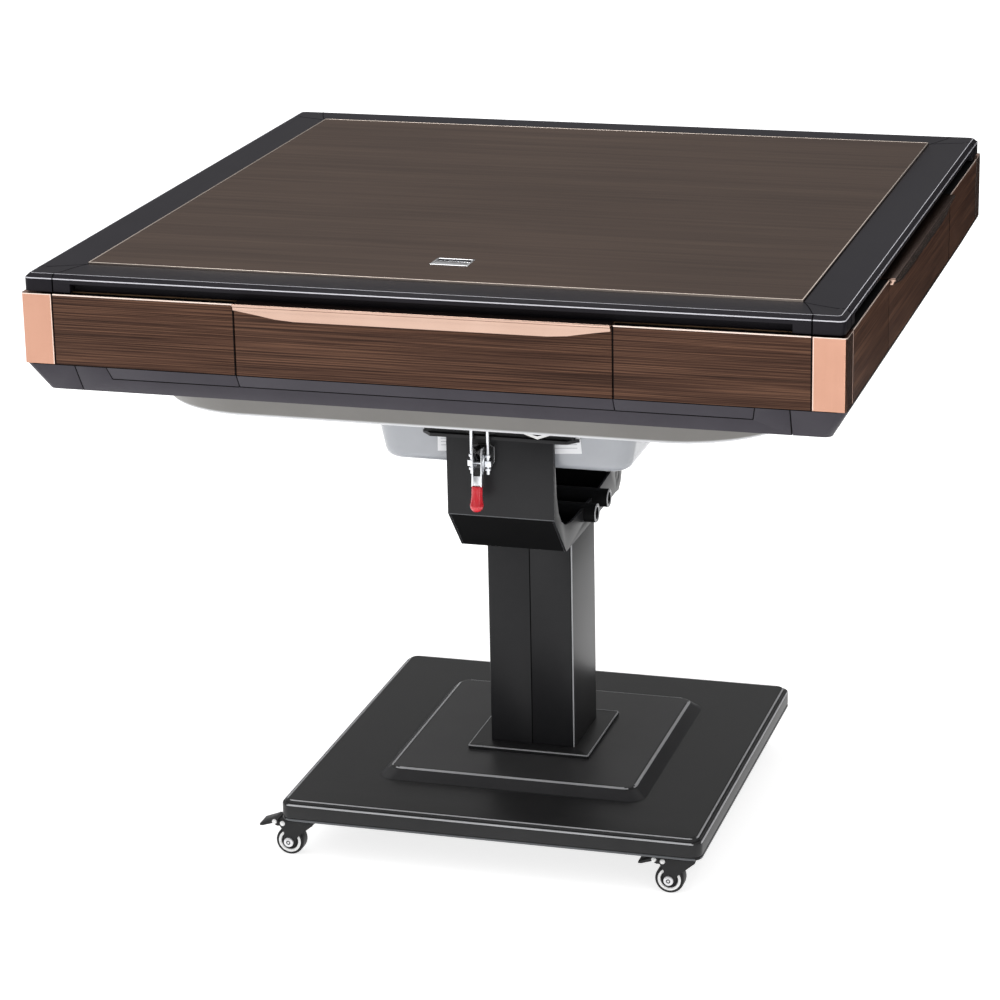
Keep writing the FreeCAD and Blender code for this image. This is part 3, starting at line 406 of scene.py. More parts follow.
def cad_mesh(node, pick=None, flat=True):
    """The CAD node's surface, welded and with its flat faces made whole again."""
    bm = bmesh.new()
    bm.from_mesh(NODE[node].data)
    bmesh.ops.remove_doubles(bm, verts=bm.verts, dist=1.2e-5)
    if pick is not None:
        kill = []
        for g in islands(bm):
            lo = Vector((min(v.co[i] for v in g) for i in range(3)))
            hi = Vector((max(v.co[i] for v in g) for i in range(3)))
            if not pick(lo, hi):
                kill += g
        bmesh.ops.delete(bm, geom=kill, context="VERTS")
    if flat:
        bmesh.ops.dissolve_limit(bm, angle_limit=math.radians(0.6), use_dissolve_boundaries=False, verts=bm.verts, edges=bm.edges)
        many = [f for f in bm.faces if len(f.verts) > 4]
        bmesh.ops.triangulate(bm, faces=many, quad_method="BEAUTY", ngon_method="BEAUTY")
    return bm


def refine(node, mat, bevel, body=None, name=None, segs=3, angle=30.0, pick=None, replace=True, edge=None, zone=None):
    """A CAD node's shape with its edges softened as on the real piece; its bevelled edges and one zone of faces can
    take other materials, here painted highlights and painted shade.
    """
    bm = cad_mesh(node, pick)
    if zone:
        bmesh.ops.recalc_face_normals(bm, faces=bm.faces)
        for f in bm.faces:
            if zone[1](f.calc_center_median(), f.normal):
                f.material_index = 1
    o = add(name or ("v_" + node), bm, mat, body or NODE[node]["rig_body"], node if replace else (), bevel, segs, angle)
    for extra in ([zone[0]] if zone else []) + ([edge] if edge else []):
        o.data.materials.append(extra.m)
    if edge:
        o.modifiers["bevel"].material = 2 if zone else 1
    return o


def paint(node, mat):
    """Give a CAD node that stays as it is a better material."""
    o = NODE[node]
    o.data.materials.clear()
    o.data.materials.append(mat.m)


def bm_box(bm, lo, hi):
    vs = [bm.verts.new(((lo, hi)[i][0], (lo, hi)[j][1], (lo, hi)[k][2])) for k in (0, 1) for j in (0, 1) for i in (0, 1)]
    for f in ((0, 2, 3, 1), (4, 5, 7, 6), (0, 1, 5, 4), (2, 6, 7, 3), (0, 4, 6, 2), (1, 3, 7, 5)):
        bm.faces.new([vs[i] for i in f])
    return vs


def bm_loft(bm, rings, cap=True, closed=True):
    """Quads between rings of points; each ring has the same number."""
    rows = [[bm.verts.new(p) for p in r] for r in rings]
    n = len(rows[0])
    for a, b in zip(rows, rows[1:]):
        for i in range(n if closed else n - 1):
            j = (i + 1) % n
            bm.faces.new((a[i], a[j], b[j], b[i]))
    if cap:
        bm.faces.new(rows[0])
        bm.faces.new(rows[-1])
    return rows


def bm_lathe(bm, prof, centre, axis, steps=48, cap=True, ring=False):
    """Turn a profile of (radius, height) pairs about an axis through centre; ring joins the profile's ends."""
    a = Vector(axis).normalized()
    u = a.orthogonal().normalized()
    v = a.cross(u)
    c = Vector(centre)
    rings = []
    for r, h in prof:
        rings.append([c + a * h + (u * math.cos(t) + v * math.sin(t)) * max(r, 1e-5) for t in [2 * math.pi * i / steps for i in range(steps)]])
    rows = bm_loft(bm, rings, cap and not ring)
    if ring:
        for i in range(steps):
            j = (i + 1) % steps
            bm.faces.new((rows[-1][i], rows[-1][j], rows[0][j], rows[0][i]))
    return rows


def bm_slab(bm, pts, thick):
    """Flat piece from corner points and a thickness vector."""
    a = [bm.verts.new(Vector(p)) for p in pts]
    b = [bm.verts.new(Vector(p) + Vector(thick)) for p in pts]
    bm.faces.new(a)
    bm.faces.new(list(reversed(b)))
    for i in range(len(a)):
        j = (i + 1) % len(a)
        bm.faces.new((a[i], b[i], b[j], a[j]))


def rounded(hx, hy, r, z, n=10, cx=0.0, cy=0.0):
    """Points round a rectangle with rounded corners."""
    pts = []
    for (sx, sy, a0) in ((1, -1, -90), (1, 1, 0), (-1, 1, 90), (-1, -1, 180)):
        ox, oy = cx + sx * (hx - r), cy + sy * (hy - r)
        for i in range(n + 1):
            a = math.radians(a0 + 90.0 * i / n)
            pts.append((ox + r * math.cos(a), oy + r * math.sin(a), z))
    return [Vector(p) for p in pts]


def tube_points(bm, path, r, steps=16, cap=True):
    """Round bar along a list of points."""
    rings = []
    n = len(path)
    prev = None
    for i, p in enumerate(path):
        p = Vector(p)
        t = (Vector(path[min(i + 1, n - 1)]) - Vector(path[max(i - 1, 0)])).normalized()
        if prev is None:
            u = t.orthogonal().normalized()
        else:
            u = (prev - t * prev.dot(t)).normalized()
        prev = u
        w = t.cross(u)
        rings.append([p + (u * math.cos(a) + w * math.sin(a)) * r for a in [2 * math.pi * k / steps for k in range(steps)]])
    bm_loft(bm, rings, cap)


def rotz(k):
    return Matrix.Rotation(math.radians(90.0 * k), 4, "Z")


SIDES = (("front", 0), ("right", 1), ("back", 2), ("left", 3))
SIDE_MAT = {0: M_SIDE_X, 1: M_SIDE_Y, 2: M_SIDE_X, 3: M_SIDE_Y}


def side_of(lo, hi):
    """Which side of the head a solid belongs to, by its middle."""
    x, y = (lo.x + hi.x) / 2, (lo.y + hi.y) / 2
    if abs(y) > abs(x):
        return 0 if y < 0 else 2
    return 1 if x > 0 else 3


# ------------------------------------------------------------------ head: cover board
bm = bmesh.new()
gx = [-0.4139, -0.0281, 0.0171, 0.4139]
gy = [-0.4139, -0.3461, -0.3149, 0.4139]
lay = []
for z in (0.7815, 0.7920):
    lay.append([[bm.verts.new((x, y, z)) for x in gx] for y in gy])
for j in range(3):
    for i in range(3):
        if (i, j) == (1, 1):
            continue
        for L in lay:
            bm.faces.new((L[j][i], L[j][i + 1], L[j + 1][i + 1], L[j + 1][i]))
for a, b in ((0, 0), (1, 0), (2, 0)):
    for (p0, p1) in (((0, a), (0, a + 1)), ((3, a), (3, a + 1)), ((a, 0), (a + 1, 0)), ((a, 3), (a + 1, 3))):
        v = [lay[0][p0[0]][p0[1]], lay[0][p1[0]][p1[1]], lay[1][p1[0]][p1[1]], lay[1][p0[0]][p0[1]]]
        bm.faces.new(v)
for (p0, p1) in (((1, 1), (1, 2)), ((2, 1), (2, 2)), ((1, 1), (2, 1)), ((1, 2), (2, 2))):
    bm.faces.new([lay[0][p0[0]][p0[1]], lay[0][p1[0]][p1[1]], lay[1][p1[0]][p1[1]], lay[1][p0[0]][p0[1]]])
add("cover_board_wood", bm, M_TOP, NODE["cover_board"]["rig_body"], "cover_board", bevel=0.0003, segs=2)
refine("cover_edging", M_EDGE, 0.0003, segs=2)
refine("pull_cup", M_CHROME, 0.0005, segs=3)
refine("pull_flap", M_CHROME, 0.0004, segs=3)

# ------------------------------------------------------------------ head: bezel
refine("bezel_rails", M_BEZEL, 0.0007, segs=3)
refine("bezel_corners", M_BEZEL, 0.0007, segs=3)

def bezel_z(d):
    """Height of the bezel's top face, d millimetres out from the middle."""
    if d > 460.5:
        return 790.0
    if d > 457.0:
        return 789.3 + 0.7 * (d - 457.0) / 3.5
    return 789.3 + 0.5 * (457.0 - d) / 40.5


def closed_strip(name, ring_list, mat, body):
    """Thin bar that runs right round the head."""
    b = bmesh.new()
    rr = [[b.verts.new(p) for p in r] for r in ring_list]
    k = len(rr[0])
    for r0, r1 in zip(rr, rr[1:] + rr[:1]):
        for i in range(k):
            b.faces.new((r0[i], r0[(i + 1) % k], r1[(i + 1) % k], r1[i]))
    return add(name, b, mat, body, sharp=70.0)


# two thin near-white bars round the bezel's crown and body edges: painted highlights
closed_strip("bezel_crown_painted_highlight", [rounded(h, h, r, z, 8) for h, r, z in ((0.46712, 0.0060, 0.7897), (0.46685, 0.0060, 0.79008), (0.4662, 0.0055, 0.79012), (0.4660, 0.0055, 0.7898), (0.4665, 0.0055, 0.7893))], M_GLINT, "head")
closed_strip("bezel_body_painted_highlight", [rounded(h, h, r, z, 8) for h, r, z in ((0.47212, 0.0070, 0.7846), (0.47212, 0.0070, 0.78535), (0.4717, 0.0068, 0.7858), (0.4714, 0.0068, 0.7856), (0.4714, 0.0068, 0.7846))], M_GLINT, "head")

# joints of the bezel: across the body, up the chamfer and along the curve on top
arc = []
for i in range(13):
    t = i / 12.0
    y = -467.0 + t * 50.5
    arc.append((407.0 + 29.5 * ((-y - 407.0) / 60.0) ** 0.62, y))
bm = bmesh.new()
for mirror in (False, True):
    pts = [(436.5, -472.16, 770.1), (436.5, -472.16, 785.4), (436.5, -467.1, 790.16)] + [(x, y, bezel_z(-y) + 0.10) for x, y in arc]
    w = [0.75, 0.75, 0.75] + [0.55] * len(arc)
    if mirror:
        pts = [(-y, -x, z) for x, y, z in pts]
    rows = []
    for (x, y, z), h in zip(pts, w):
        dx, dy = (0.0, h) if mirror else (h, 0.0)
        rows.append([bm.verts.new(((x + a * dx) * MM, (y + a * dy) * MM, z * MM)) for a in (-1, 1)])
    for a, b in zip(rows, rows[1:]):
        bm.faces.new((a[0], a[1], b[1], b[0]))
base_joint = bm
for k in range(4):
    bm = base_joint.copy()
    bm.transform(rotz(k))
    geo = bmesh.ops.solidify(bm, geom=bm.faces[:], thickness=0.00012)
    add("bezel_joint_lines_%d" % k, bm, M_SEAM_AND_SHADE, "head", smooth=False)
base_joint.free()

# ------------------------------------------------------------------ head: wood panels, one piece a side so the grain follows the side
for nm, k in SIDES:
    o = refine("side_panels", SIDE_MAT[k], 0.0006, name="panel_wood_" + nm, pick=lambda lo, hi, k=k: side_of(lo, hi) == k)
    # a thin rose trim strip along each panel's top, coloured near white as a painted highlight
    bm = bmesh.new()
    for s in (-1, 1):
        a, b = sorted((s * 0.2187, s * 0.4362))
        bm_box(bm, (a, -0.4752, 0.7668), (b, -0.4742, 0.7684))
    bm.transform(rotz(k))
    add("panel_top_trim_" + nm, bm, M_ROSE_PAINTED_HIGHLIGHT, "head", bevel=0.0003, segs=2)
    # a dark strip on each panel's top under the bezel: painted shade
    bm = bmesh.new()
    for s in (-1, 1):
        a, b = sorted((s * 0.2187, s * 0.4362))
        bm_box(bm, (a, -0.4742, 0.7678), (b, -0.4634, 0.7682))
    bm.transform(rotz(k))
    add("panel_top_shadow_" + nm, bm, M_SEAM_AND_SHADE, "head", smooth=False)
    b_ = nm + "_drawer"
    refine(nm + "_drawer_box", SIDE_MAT[k], 0.0006, name=nm + "_drawer_face",
           pick=lambda lo, hi: (hi.z - lo.z) < 0.0835 and (hi.z - lo.z) > 0.08)
    refine(nm + "_drawer_box", M_SKIRT, 0.0005, name=nm + "_drawer_tray",
           pick=lambda lo, hi: not ((hi.z - lo.z) < 0.0835 and (hi.z - lo.z) > 0.08))
    refine(nm + "_drawer_pull", M_ROSE_PULL, 0.0006)

o = refine("corner_covers", M_ROSE, 0.0009, segs=3)
wnm = o.modifiers.new("even", "WEIGHTED_NORMAL")
wnm.mode = "FACE_AREA"
wnm.weight = 90
wnm.keep_sharp = True
refine("skirt_sections", M_SKIRT, 0.0005, segs=2)


def skirt_point(x, z, off=0.12):
    """A point on the front skirt's slope, in millimetres, a little outside it."""
    y = -(475.0 - (685.5 - z) * 19.3 / 34.2)
    return Vector((x, y - 0.871 * off, z - 0.491 * off)) * MM


def skirt_line(bm, p, q, w=0.9):
    (x0, z0), (x1, z1) = p, q
    ln = math.hypot(x1 - x0, z1 - z0)
    nx, nz = -(z1 - z0) / ln * w / 2, (x1 - x0) / ln * w / 2
    bm_slab(bm, [skirt_point(x0 + nx, z0 + nz), skirt_point(x1 + nx, z1 + nz), skirt_point(x1 - nx, z1 - nz), skirt_point(x0 - nx, z0 - nz)], (0, 0.00026, 0.00015))


# dark joints round the side panels and the skirt
for nm, k in SIDES:
    bm = bmesh.new()
    for s_ in (-1, 1):
        for x0, x1 in ((436.1, 437.9), (218.3, 219.4)):
            a, b = sorted((s_ * x0, s_ * x1))
            bm_box(bm, (a * MM, -0.47515, 0.6859), (b * MM, -0.4745, 0.7679))
        a, b = sorted((s_ * 218.6, s_ * 465.0))
        bm_box(bm, (a * MM, -0.47512, 0.6851), (b * MM, -0.4745, 0.6859))
        skirt_line(bm, (s_ * 218.6, 669.5), (s_ * 371.9, 669.5))
        skirt_line(bm, (s_ * 371.8, 669.5), (s_ * 375.3, 685.2))
        skirt_line(bm, (s_ * 412.2, 651.6), (s_ * 413.6, 685.2))
    bm.transform(rotz(k))
    add("side_joints_" + nm, bm, M_SEAM_AND_SHADE, "head", smooth=False)
    bm = bmesh.new()
    skirt_line(bm, (-217.2, 669.7), (217.2, 669.7))
    bm_box(bm, (-0.2172, -0.47512, 0.6851), (0.2172, -0.4745, 0.6858))
    bm.transform(rotz(k))
    add(nm + "_drawer_joint", bm, M_SEAM_AND_SHADE, NODE[nm + "_drawer_box"]["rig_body"], smooth=False)

# near-white strips on the corner covers' edges, along the top and beside the joint: painted highlights
for k in range(4):
    bm = bmesh.new()
    path = [(438.2, -475.1)] + [(470.5 + 4.6 * math.cos(math.radians(t)), -470.5 + 4.6 * math.sin(math.radians(t))) for t in range(-90, 1, 10)] + [(475.1, -438.2)]
    rows = []
    for x, y in path:
        d = Vector((x - 460.0, y + 460.0)).normalized() * 0.6
        rows.append([bm.verts.new((x * MM, y * MM, 0.7669)), bm.verts.new((x * MM, y * MM, 0.7680)), bm.verts.new(((x - d.x) * MM, (y - d.y) * MM, 0.7680)), bm.verts.new(((x - d.x) * MM, (y - d.y) * MM, 0.7669))])
    for a, b in zip(rows, rows[1:]):
        for i in range(4):
            bm.faces.new((a[i], a[(i + 1) % 4], b[(i + 1) % 4], b[i]))
    bm.faces.new(rows[0])
    bm.faces.new(rows[-1])
    bm_box(bm, (0.4383, -0.4751, 0.6863), (0.4391, -0.4746, 0.7670))
    bm_box(bm, (0.4746, -0.4391, 0.6863), (0.4751, -0.4383, 0.7670))
    bm.transform(rotz(k))
    add("corner_cover_painted_highlight_%d" % k, bm, M_ROSE_PAINTED_HIGHLIGHT, "head", smooth=False)

# ------------------------------------------------------------------ underside: pan and tub as smooth mouldings
bm = bmesh.new()
outer = [(0.4012, 0.151, 0.6512), (0.3990, 0.149, 0.6490), (0.3968, 0.147, 0.6450), (0.3932, 0.143, 0.6375), (0.3893, 0.139, 0.6290), (0.3860, 0.136, 0.6220),
         (0.3828, 0.133, 0.6152), (0.3808, 0.1315, 0.6112), (0.3796, 0.1305, 0.6096), (0.3778, 0.129, 0.6085), (0.3750, 0.127, 0.6077), (0.3690, 0.122, 0.6062), (0.3450, 0.108, 0.5990), (0.3240, 0.096, 0.5926), (0.3190, 0.093, 0.5920)]
rings = [rounded(h, h, r, z, 14) for h, r, z in outer]
hole = rounded(0.151, 0.145, 0.034, 0.5920, 14)
hole2 = rounded(0.151, 0.145, 0.034, 0.5950, 14)
inner = [rounded(h - 0.0032, h - 0.0032, r - 0.003, z + 0.0026, 14) for h, r, z in reversed(outer[1:-1])]
ring_all = rings + [hole, hole2, rounded(0.3160, 0.3160, 0.090, 0.5950, 14)] + inner + [rounded(0.4290, 0.4290, 0.118, 0.6512, 14), rounded(0.4320, 0.4320, 0.120, 0.6505, 14), rounded(0.4320, 0.4320, 0.120, 0.6485, 14), rounded(0.4050, 0.4050, 0.153, 0.6483, 14)]
rows = [[bm.verts.new(p) for p in r] for r in ring_all]
n = len(rows[0])
for a, b in zip(rows, rows[1:] + rows[:1]):
    for i in range(n):
        j = (i + 1) % n
        bm.faces.new((a[i], a[j], b[j], b[i]))
add("pan_shell", bm, M_PAN, "head", "bottom_pan", sharp=60.0)

bm = bmesh.new()
tub = [(0.1725, 0.1725, 0.0330, 0.5919), (0.1684, 0.1701, 0.0312, 0.5720), (0.1644, 0.1677, 0.0293, 0.5521), (0.1604, 0.1653, 0.0274, 0.5322), (0.1564, 0.1629, 0.0255, 0.5123),
       (0.1558, 0.1623, 0.0251, 0.5090), (0.1545, 0.1610, 0.0241, 0.5045), (0.1522, 0.1587, 0.0224, 0.5013), (0.1488, 0.1553, 0.0200, 0.4989), (0.1450, 0.1515, 0.0165, 0.4976), (0.1409, 0.1474, 0.0125, 0.4970)]
rings = [rounded(a, b, r, z, 12) for a, b, r, z in tub]
bot = [(0.1200, 0.1270, 0.0120, 0.4970), (0.0600, 0.0650, 0.0100, 0.4970), (0.0200, 0.0220, 0.0050, 0.4970)]
rings += [rounded(a, b, r, z, 12) for a, b, r, z in bot]
in_r = [rounded(a - 0.003, b - 0.003, max(r - 0.003, 0.001), z + 0.003, 12) for a, b, r, z in reversed(bot)]
in_r += [rounded(a - 0.003, b - 0.003, r - 0.003, min(z + 0.003, 0.5917), 12) for a, b, r, z in reversed(tub[1:])]
in_r += [rounded(0.1695, 0.1695, 0.030, 0.5919, 12)]
rows = [[bm.verts.new(p) for p in r] for r in rings]
rows_i = [[bm.verts.new(p) for p in r] for r in in_r]
n = len(rows[0])
for a, b in list(zip(rows, rows[1:])) + list(zip(rows_i, rows_i[1:])):
    for i in range(n):
        bm.faces.new((a[i], a[(i + 1) % n], b[(i + 1) % n], b[i]))
bm.faces.new(rows[-1])
bm.faces.new(rows_i[0])
for i in range(n):
    bm.faces.new((rows_i[-1][i], rows_i[-1][(i + 1) % n], rows[0][(i + 1) % n], rows[0][i]))
add("tub_shell", bm, M_TUB, "head", "drum_tub", sharp=60.0)


def tub_front(x, z, off=0.0):
    """A point on the tub's front wall."""
    return (x, -(0.1629 + (z - 0.5123) * 0.0096 / 0.0797) - off, z)


LABELS = (("right", [(0.0290, 0.5165), (0.0989, 0.5213), (0.0976, 0.5440), (0.0278, 0.5392)], (0.0335, 0.0935), (0.5236, 0.5282, 0.5345), 0.072),
          ("left", [(-0.0822, 0.5128), (-0.0440, 0.5154), (-0.0432, 0.5356), (-0.0812, 0.5330)], (-0.0775, -0.0475), (0.5205, 0.5248, 0.5292), 0.070))
for nm, poly, (xa, xb), zs, slope in LABELS:
    bm = bmesh.new()
    bm_slab(bm, [tub_front(x, z, 0.0001) for x, z in poly], (0, -0.0003, 0))
    add("tub_label_" + nm, bm, M_LABEL, "head", smooth=False)
    bm = bmesh.new()
    for z in zs:
        dz = (xb - xa) * slope
        bm_slab(bm, [tub_front(xa, z, 0.0004), tub_front(xb, z + dz, 0.0004), tub_front(xb, z + dz + 0.0007, 0.0004), tub_front(xa, z + 0.0007, 0.0004)], (0, -0.0001, 0))
    add("tub_label_lines_" + nm, bm, M_LINE, "head", smooth=False)

bm = bmesh.new()
bm_slab(bm, [(0.0320, -0.1830, 0.5475), (0.0491, -0.1830, 0.5416), (0.0670, -0.1830, 0.5483), (0.0625, -0.1830, 0.5500), (0.0491, -0.1830, 0.5455), (0.0375, -0.1830, 0.5490)], (0, -0.0009, 0))
add("landing_tab", bm, M_WHITE, "head", bevel=0.0002, segs=2)

# ------------------------------------------------------------------ other head parts
# the mount frame's faces between its arms take the painted shade
refine("mount_frame", M_BLACK, 0.0009, zone=(M_PAINTED_SHADE_INSIDE, lambda c, n: abs(c.x) < 0.0558 and 0.09 < c.y < 0.185 and c.z < 0.5075))
refine("chassis_frame", M_BOARD, 0.0006)
refine("play_board", M_BOARD, 0.0004, name="play_board_piece")
refine("inner_rails", M_BLACK, 0.0006)
refine("feed_channels", M_INNER, 0.0006)
refine("tile_lifts", M_INNER, 0.0008)
refine("shuffle_bowl", M_INNER, 0.0006)
refine("shuffle_disc", M_TRAY, 0.0006)
refine("gear_motor", M_ZINC, 0.001)
refine("control_box", M_INNER, 0.001)
refine("power_inlet", M_SOCKET, 0.0006)
refine("power_switch", M_SWITCH, 0.0006)
refine("console_disc", M_CONSOLE, 0.0012)
refine("dice_dome", M_DOME, 0.0002)
refine("dice", M_WHITE, 0.0014)
refine("dice_button", M_BUTTON, 0.001)
refine("lift_button", M_BUTTON2, 0.001)
mat_o = refine("play_mat", M_CLOTH, 0.0, name="mat_cloth_sheet")

# ------------------------------------------------------------------ stand
# saddle and cross tubes: painted highlights on their edges, painted shade on the faces inside the saddle
refine("saddle_bracket", M_BLACK, 0.0007, edge=M_PAINTED_EDGE_HIGHLIGHT, zone=(M_PAINTED_SHADE_INSIDE, lambda c, n: abs(c.x) < 0.0645 and c.y > -0.1745 and c.z > 0.3845))
refine("cross_tubes", M_TUBE, 0.0008, edge=M_PAINTED_EDGE_HIGHLIGHT, zone=(M_PAINTED_SHADE_INSIDE, lambda c, n: abs(c.x) < 0.0635))
refine("hinge_pin_and_bolts", M_BLACK, 0.0006, name="hinge_pin", pick=lambda lo, hi: lo.z > 0.39)
refine("hinge_pin_and_bolts", M_ZINC, 0.0008, name="foot_bolts", pick=lambda lo, hi: lo.z <= 0.39)
refine("column_halves", M_BLACK, 0.0005)
bm = bmesh.new()
bm_box(bm, (-0.0007, -0.05612, 0.0962), (0.0007, -0.0554, 0.3818))
bm_box(bm, (-0.0007, 0.0554, 0.0962), (0.0007, 0.05612, 0.3818))
bm_box(bm, (0.0526, -0.05612, 0.0962), (0.0535, -0.0554, 0.3818))
add("column_seam", bm, M_SEAM_AND_SHADE, "stand", smooth=False)
# a near-white strip down the column's front-right corner: a painted highlight
bm = bmesh.new()
bm_box(bm, (0.0535, -0.05614, 0.0962), (0.05512, -0.0546, 0.3818))
add("column_corner_painted_highlight", bm, M_PAINTED_EDGE_HIGHLIGHT, "stand", bevel=0.0004, segs=2)
# a near-white ring round the flange's top edge: a painted highlight
bm = bmesh.new()
rr = [[bm.verts.new(q) for q in rounded(h, h, 0.0022, z, 6)] for h, z in ((0.07912, 0.0949), (0.07912, 0.0958), (0.0786, 0.09612), (0.0777, 0.09612), (0.0777, 0.0953))]
for r0, r1 in zip(rr, rr[1:] + rr[:1]):
    for i in range(len(r0)):
        bm.faces.new((r0[i], r0[(i + 1) % len(r0)], r1[(i + 1) % len(r0)], r1[i]))
add("flange_painted_highlight", bm, M_PAINTED_EDGE_HIGHLIGHT, "stand", sharp=70.0)
# a grey strip along the saddle's front fold: a painted highlight
bm = bmesh.new()
bm_box(bm, (-0.0668, -0.17712, 0.4377), (0.0668, -0.1764, 0.4390))
add("saddle_fold_painted_highlight", bm, M_PAINTED_SOFT_HIGHLIGHT, "stand", bevel=0.0003, segs=2)
# a lip at the back of the saddle floor, coloured in the painted shade
bm = bmesh.new()
bm_box(bm, (-0.0639, 0.1090, 0.3848), (0.0639, 0.1110, 0.3962))
add("saddle_floor_lip", bm, M_PAINTED_SHADE_INSIDE, "stand", bevel=0.0004, segs=2)
# the flange's bevelled edges take the painted highlight colour
refine("column_flange", M_BASE, 0.0008, edge=M_PAINTED_EDGE_HIGHLIGHT)

# base cover: a lip at the bottom, a rounded wall, a groove and a chamfer round the top, and the raised middle
bm = bmesh.new()
prof = [(0.2656, 0.0140, 0.0517), (0.2667, 0.0140, 0.0519), (0.2672, 0.0142, 0.0526), (0.2672, 0.0142, 0.0537), (0.2668, 0.0140, 0.0546), (0.2661, 0.0138, 0.0551), (0.2661, 0.0138, 0.0556), (0.2668, 0.0140, 0.0563),
        (0.2670, 0.0140, 0.0575), (0.2670, 0.0140, 0.0722), (0.2667, 0.0139, 0.0733), (0.2659, 0.0136, 0.0741), (0.2649, 0.0132, 0.0744), (0.2643, 0.0130, 0.0741), (0.2641, 0.0129, 0.0741), (0.2640, 0.0129, 0.0748),
        (0.2634, 0.0126, 0.0757), (0.2617, 0.0120, 0.0773), (0.2608, 0.0116, 0.0779), (0.2598, 0.0112, 0.0780), (0.2594, 0.0111, 0.0775), (0.2588, 0.0109, 0.0775), (0.2584, 0.0108, 0.0779), (0.2576, 0.0106, 0.0780),
        (0.2200, 0.0180, 0.0780), (0.1760, 0.0230, 0.0780), (0.1734, 0.0226, 0.0781), (0.1722, 0.0222, 0.0785), (0.1712, 0.0218, 0.0792), (0.1600, 0.0165, 0.0885), (0.1589, 0.0160, 0.0895), (0.1575, 0.0154, 0.0904), (0.1556, 0.0146, 0.0909),
        (0.1534, 0.0140, 0.0910), (0.1200, 0.0120, 0.0910), (0.0600, 0.0080, 0.0910)]
inner = [(0.0600, 0.0080, 0.0885), (0.1530, 0.0120, 0.0885), (0.1690, 0.0200, 0.0752), (0.2590, 0.0110, 0.0748), (0.2645, 0.0120, 0.0700), (0.2645, 0.0120, 0.0517)]
ring_all = [rounded(h, h, r, z, 12) for h, r, z in prof + inner]
rows = [[bm.verts.new(p) for p in r] for r in ring_all]
n = len(rows[0])
for a, b in zip(rows, rows[1:] + rows[:1]):
    if a is rows[len(prof) - 1]:
        continue
    for i in range(n):
        bm.faces.new((a[i], a[(i + 1) % n], b[(i + 1) % n], b[i]))
bm.faces.new(rows[len(prof) - 1])
bm.faces.new(rows[len(prof)])
# painted highlight lines on the rim's top edge, the groove and the raised middle's edge, a dimmer painted highlight on
# the bottom lip, painted light on the slant and on the raised middle's top
for f in bm.faces:
    c = f.calc_center_median()
    d = max(abs(c.x), abs(c.y))
    if d > 0.2655 and 0.0515 < c.z < 0.0545:
        f.material_index = 4
    elif (d > 0.2660 and 0.0718 < c.z < 0.0738) or (0.2594 < d < 0.2615 and c.z > 0.0772) or (0.1560 < d < 0.1592 and c.z > 0.0894):
        f.material_index = 1
    elif 0.1590 < d < 0.1716 and 0.079 < c.z < 0.0895:
        f.material_index = 2
    elif d < 0.1545 and c.z > 0.0905:
        f.material_index = 3
o = add("base_cover_shell", bm, M_BASE, NODE["base_cover"]["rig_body"], "base_cover", sharp=46.0)
o.data.materials.append(M_PAINTED_EDGE_HIGHLIGHT.m)
o.data.materials.append(M_BASE_PAINTED_LIGHT_SLANT.m)
o.data.materials.append(M_BASE_PAINTED_LIGHT_TOP.m)
o.data.materials.append(M_PAINTED_SOFT_HIGHLIGHT.m)
refine("base_plate", M_BASE, 0.0008)
refine("caster_plates", M_ZINC, 0.0005)
# clamp base: painted highlights on its edges and on its right-facing side faces
refine("clamp_base", M_CLAMP, 0.0004, edge=M_CLAMP_PAINTED_HIGHLIGHT, zone=(M_CLAMP_PAINTED_HIGHLIGHT, lambda c, n: c.y > -0.1792 and abs(n.y) < 0.5 and n.x > 0.3))
refine("clamp_lever", M_ZINC, 0.0003)

# grip: one smooth moulding, waisted at the top and round at the end
bm = bmesh.new()
gz = [(0.4852, 6.0, 4.6, -203.9), (0.4850, 6.5, 5.05, -203.9), (0.4844, 6.75, 5.3, -203.95), (0.4800, 6.75, 5.4, -204.5), (0.4724, 6.85, 5.8, -205.4), (0.4670, 7.35, 6.7, -206.1), (0.4635, 7.95, 7.5, -206.6)]
gz += [(0.4613 + 0.0083 * math.sin(math.radians(t)), 8.3 * math.cos(math.radians(t)), 8.3 * math.cos(math.radians(t)), -206.8) for t in (5, -8, -20, -32, -44, -56, -68, -78, -86)]
bm_loft(bm, [[Vector((-0.021 + rx * MM * math.cos(a), yc * MM + ry * MM * math.sin(a), z)) for a in [2 * math.pi * k / 40 for k in range(40)]] for z, rx, ry, yc in gz])
add("clamp_grip_moulding", bm, M_RED, NODE["clamp_grip"]["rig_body"], "clamp_grip", sharp=80.0)
refine("clamp_hook", M_ZINC, 0.0003)

# casters: forks, wheels of a tyre, a white ring and a hub, bolt heads, rivets, pedals
TYRE = [(14.4, -8.75), (15.0, -9.0), (16.5, -8.95), (17.3, -8.5), (17.8, -7.4), (18.0, -6.0), (18.0, 6.0), (17.8, 7.4), (17.3, 8.5), (16.5, 8.95), (15.0, 9.0), (14.4, 8.75), (12.0, 8.5), (12.0, -8.5)]
RING = [(10.9, -8.7), (11.2, -9.1), (11.8, -9.35), (12.7, -9.45), (13.6, -9.35), (14.2, -9.1), (14.5, -8.7), (14.5, 8.7), (14.2, 9.1), (13.6, 9.35), (12.7, 9.45), (11.8, 9.35), (11.2, 9.1), (10.9, 8.7)]
HUB = [(3.1, -8.0), (6.4, -8.1), (8.3, -7.7), (8.9, -8.3), (9.7, -8.5), (10.3, -8.2), (11.1, -7.6), (11.1, 7.6), (10.3, 8.2), (9.7, 8.5), (8.9, 8.3), (8.3, 7.7), (6.4, 8.1), (3.1, 8.0)]
mm = lambda prof: [(r * MM, h * MM) for r, h in prof]
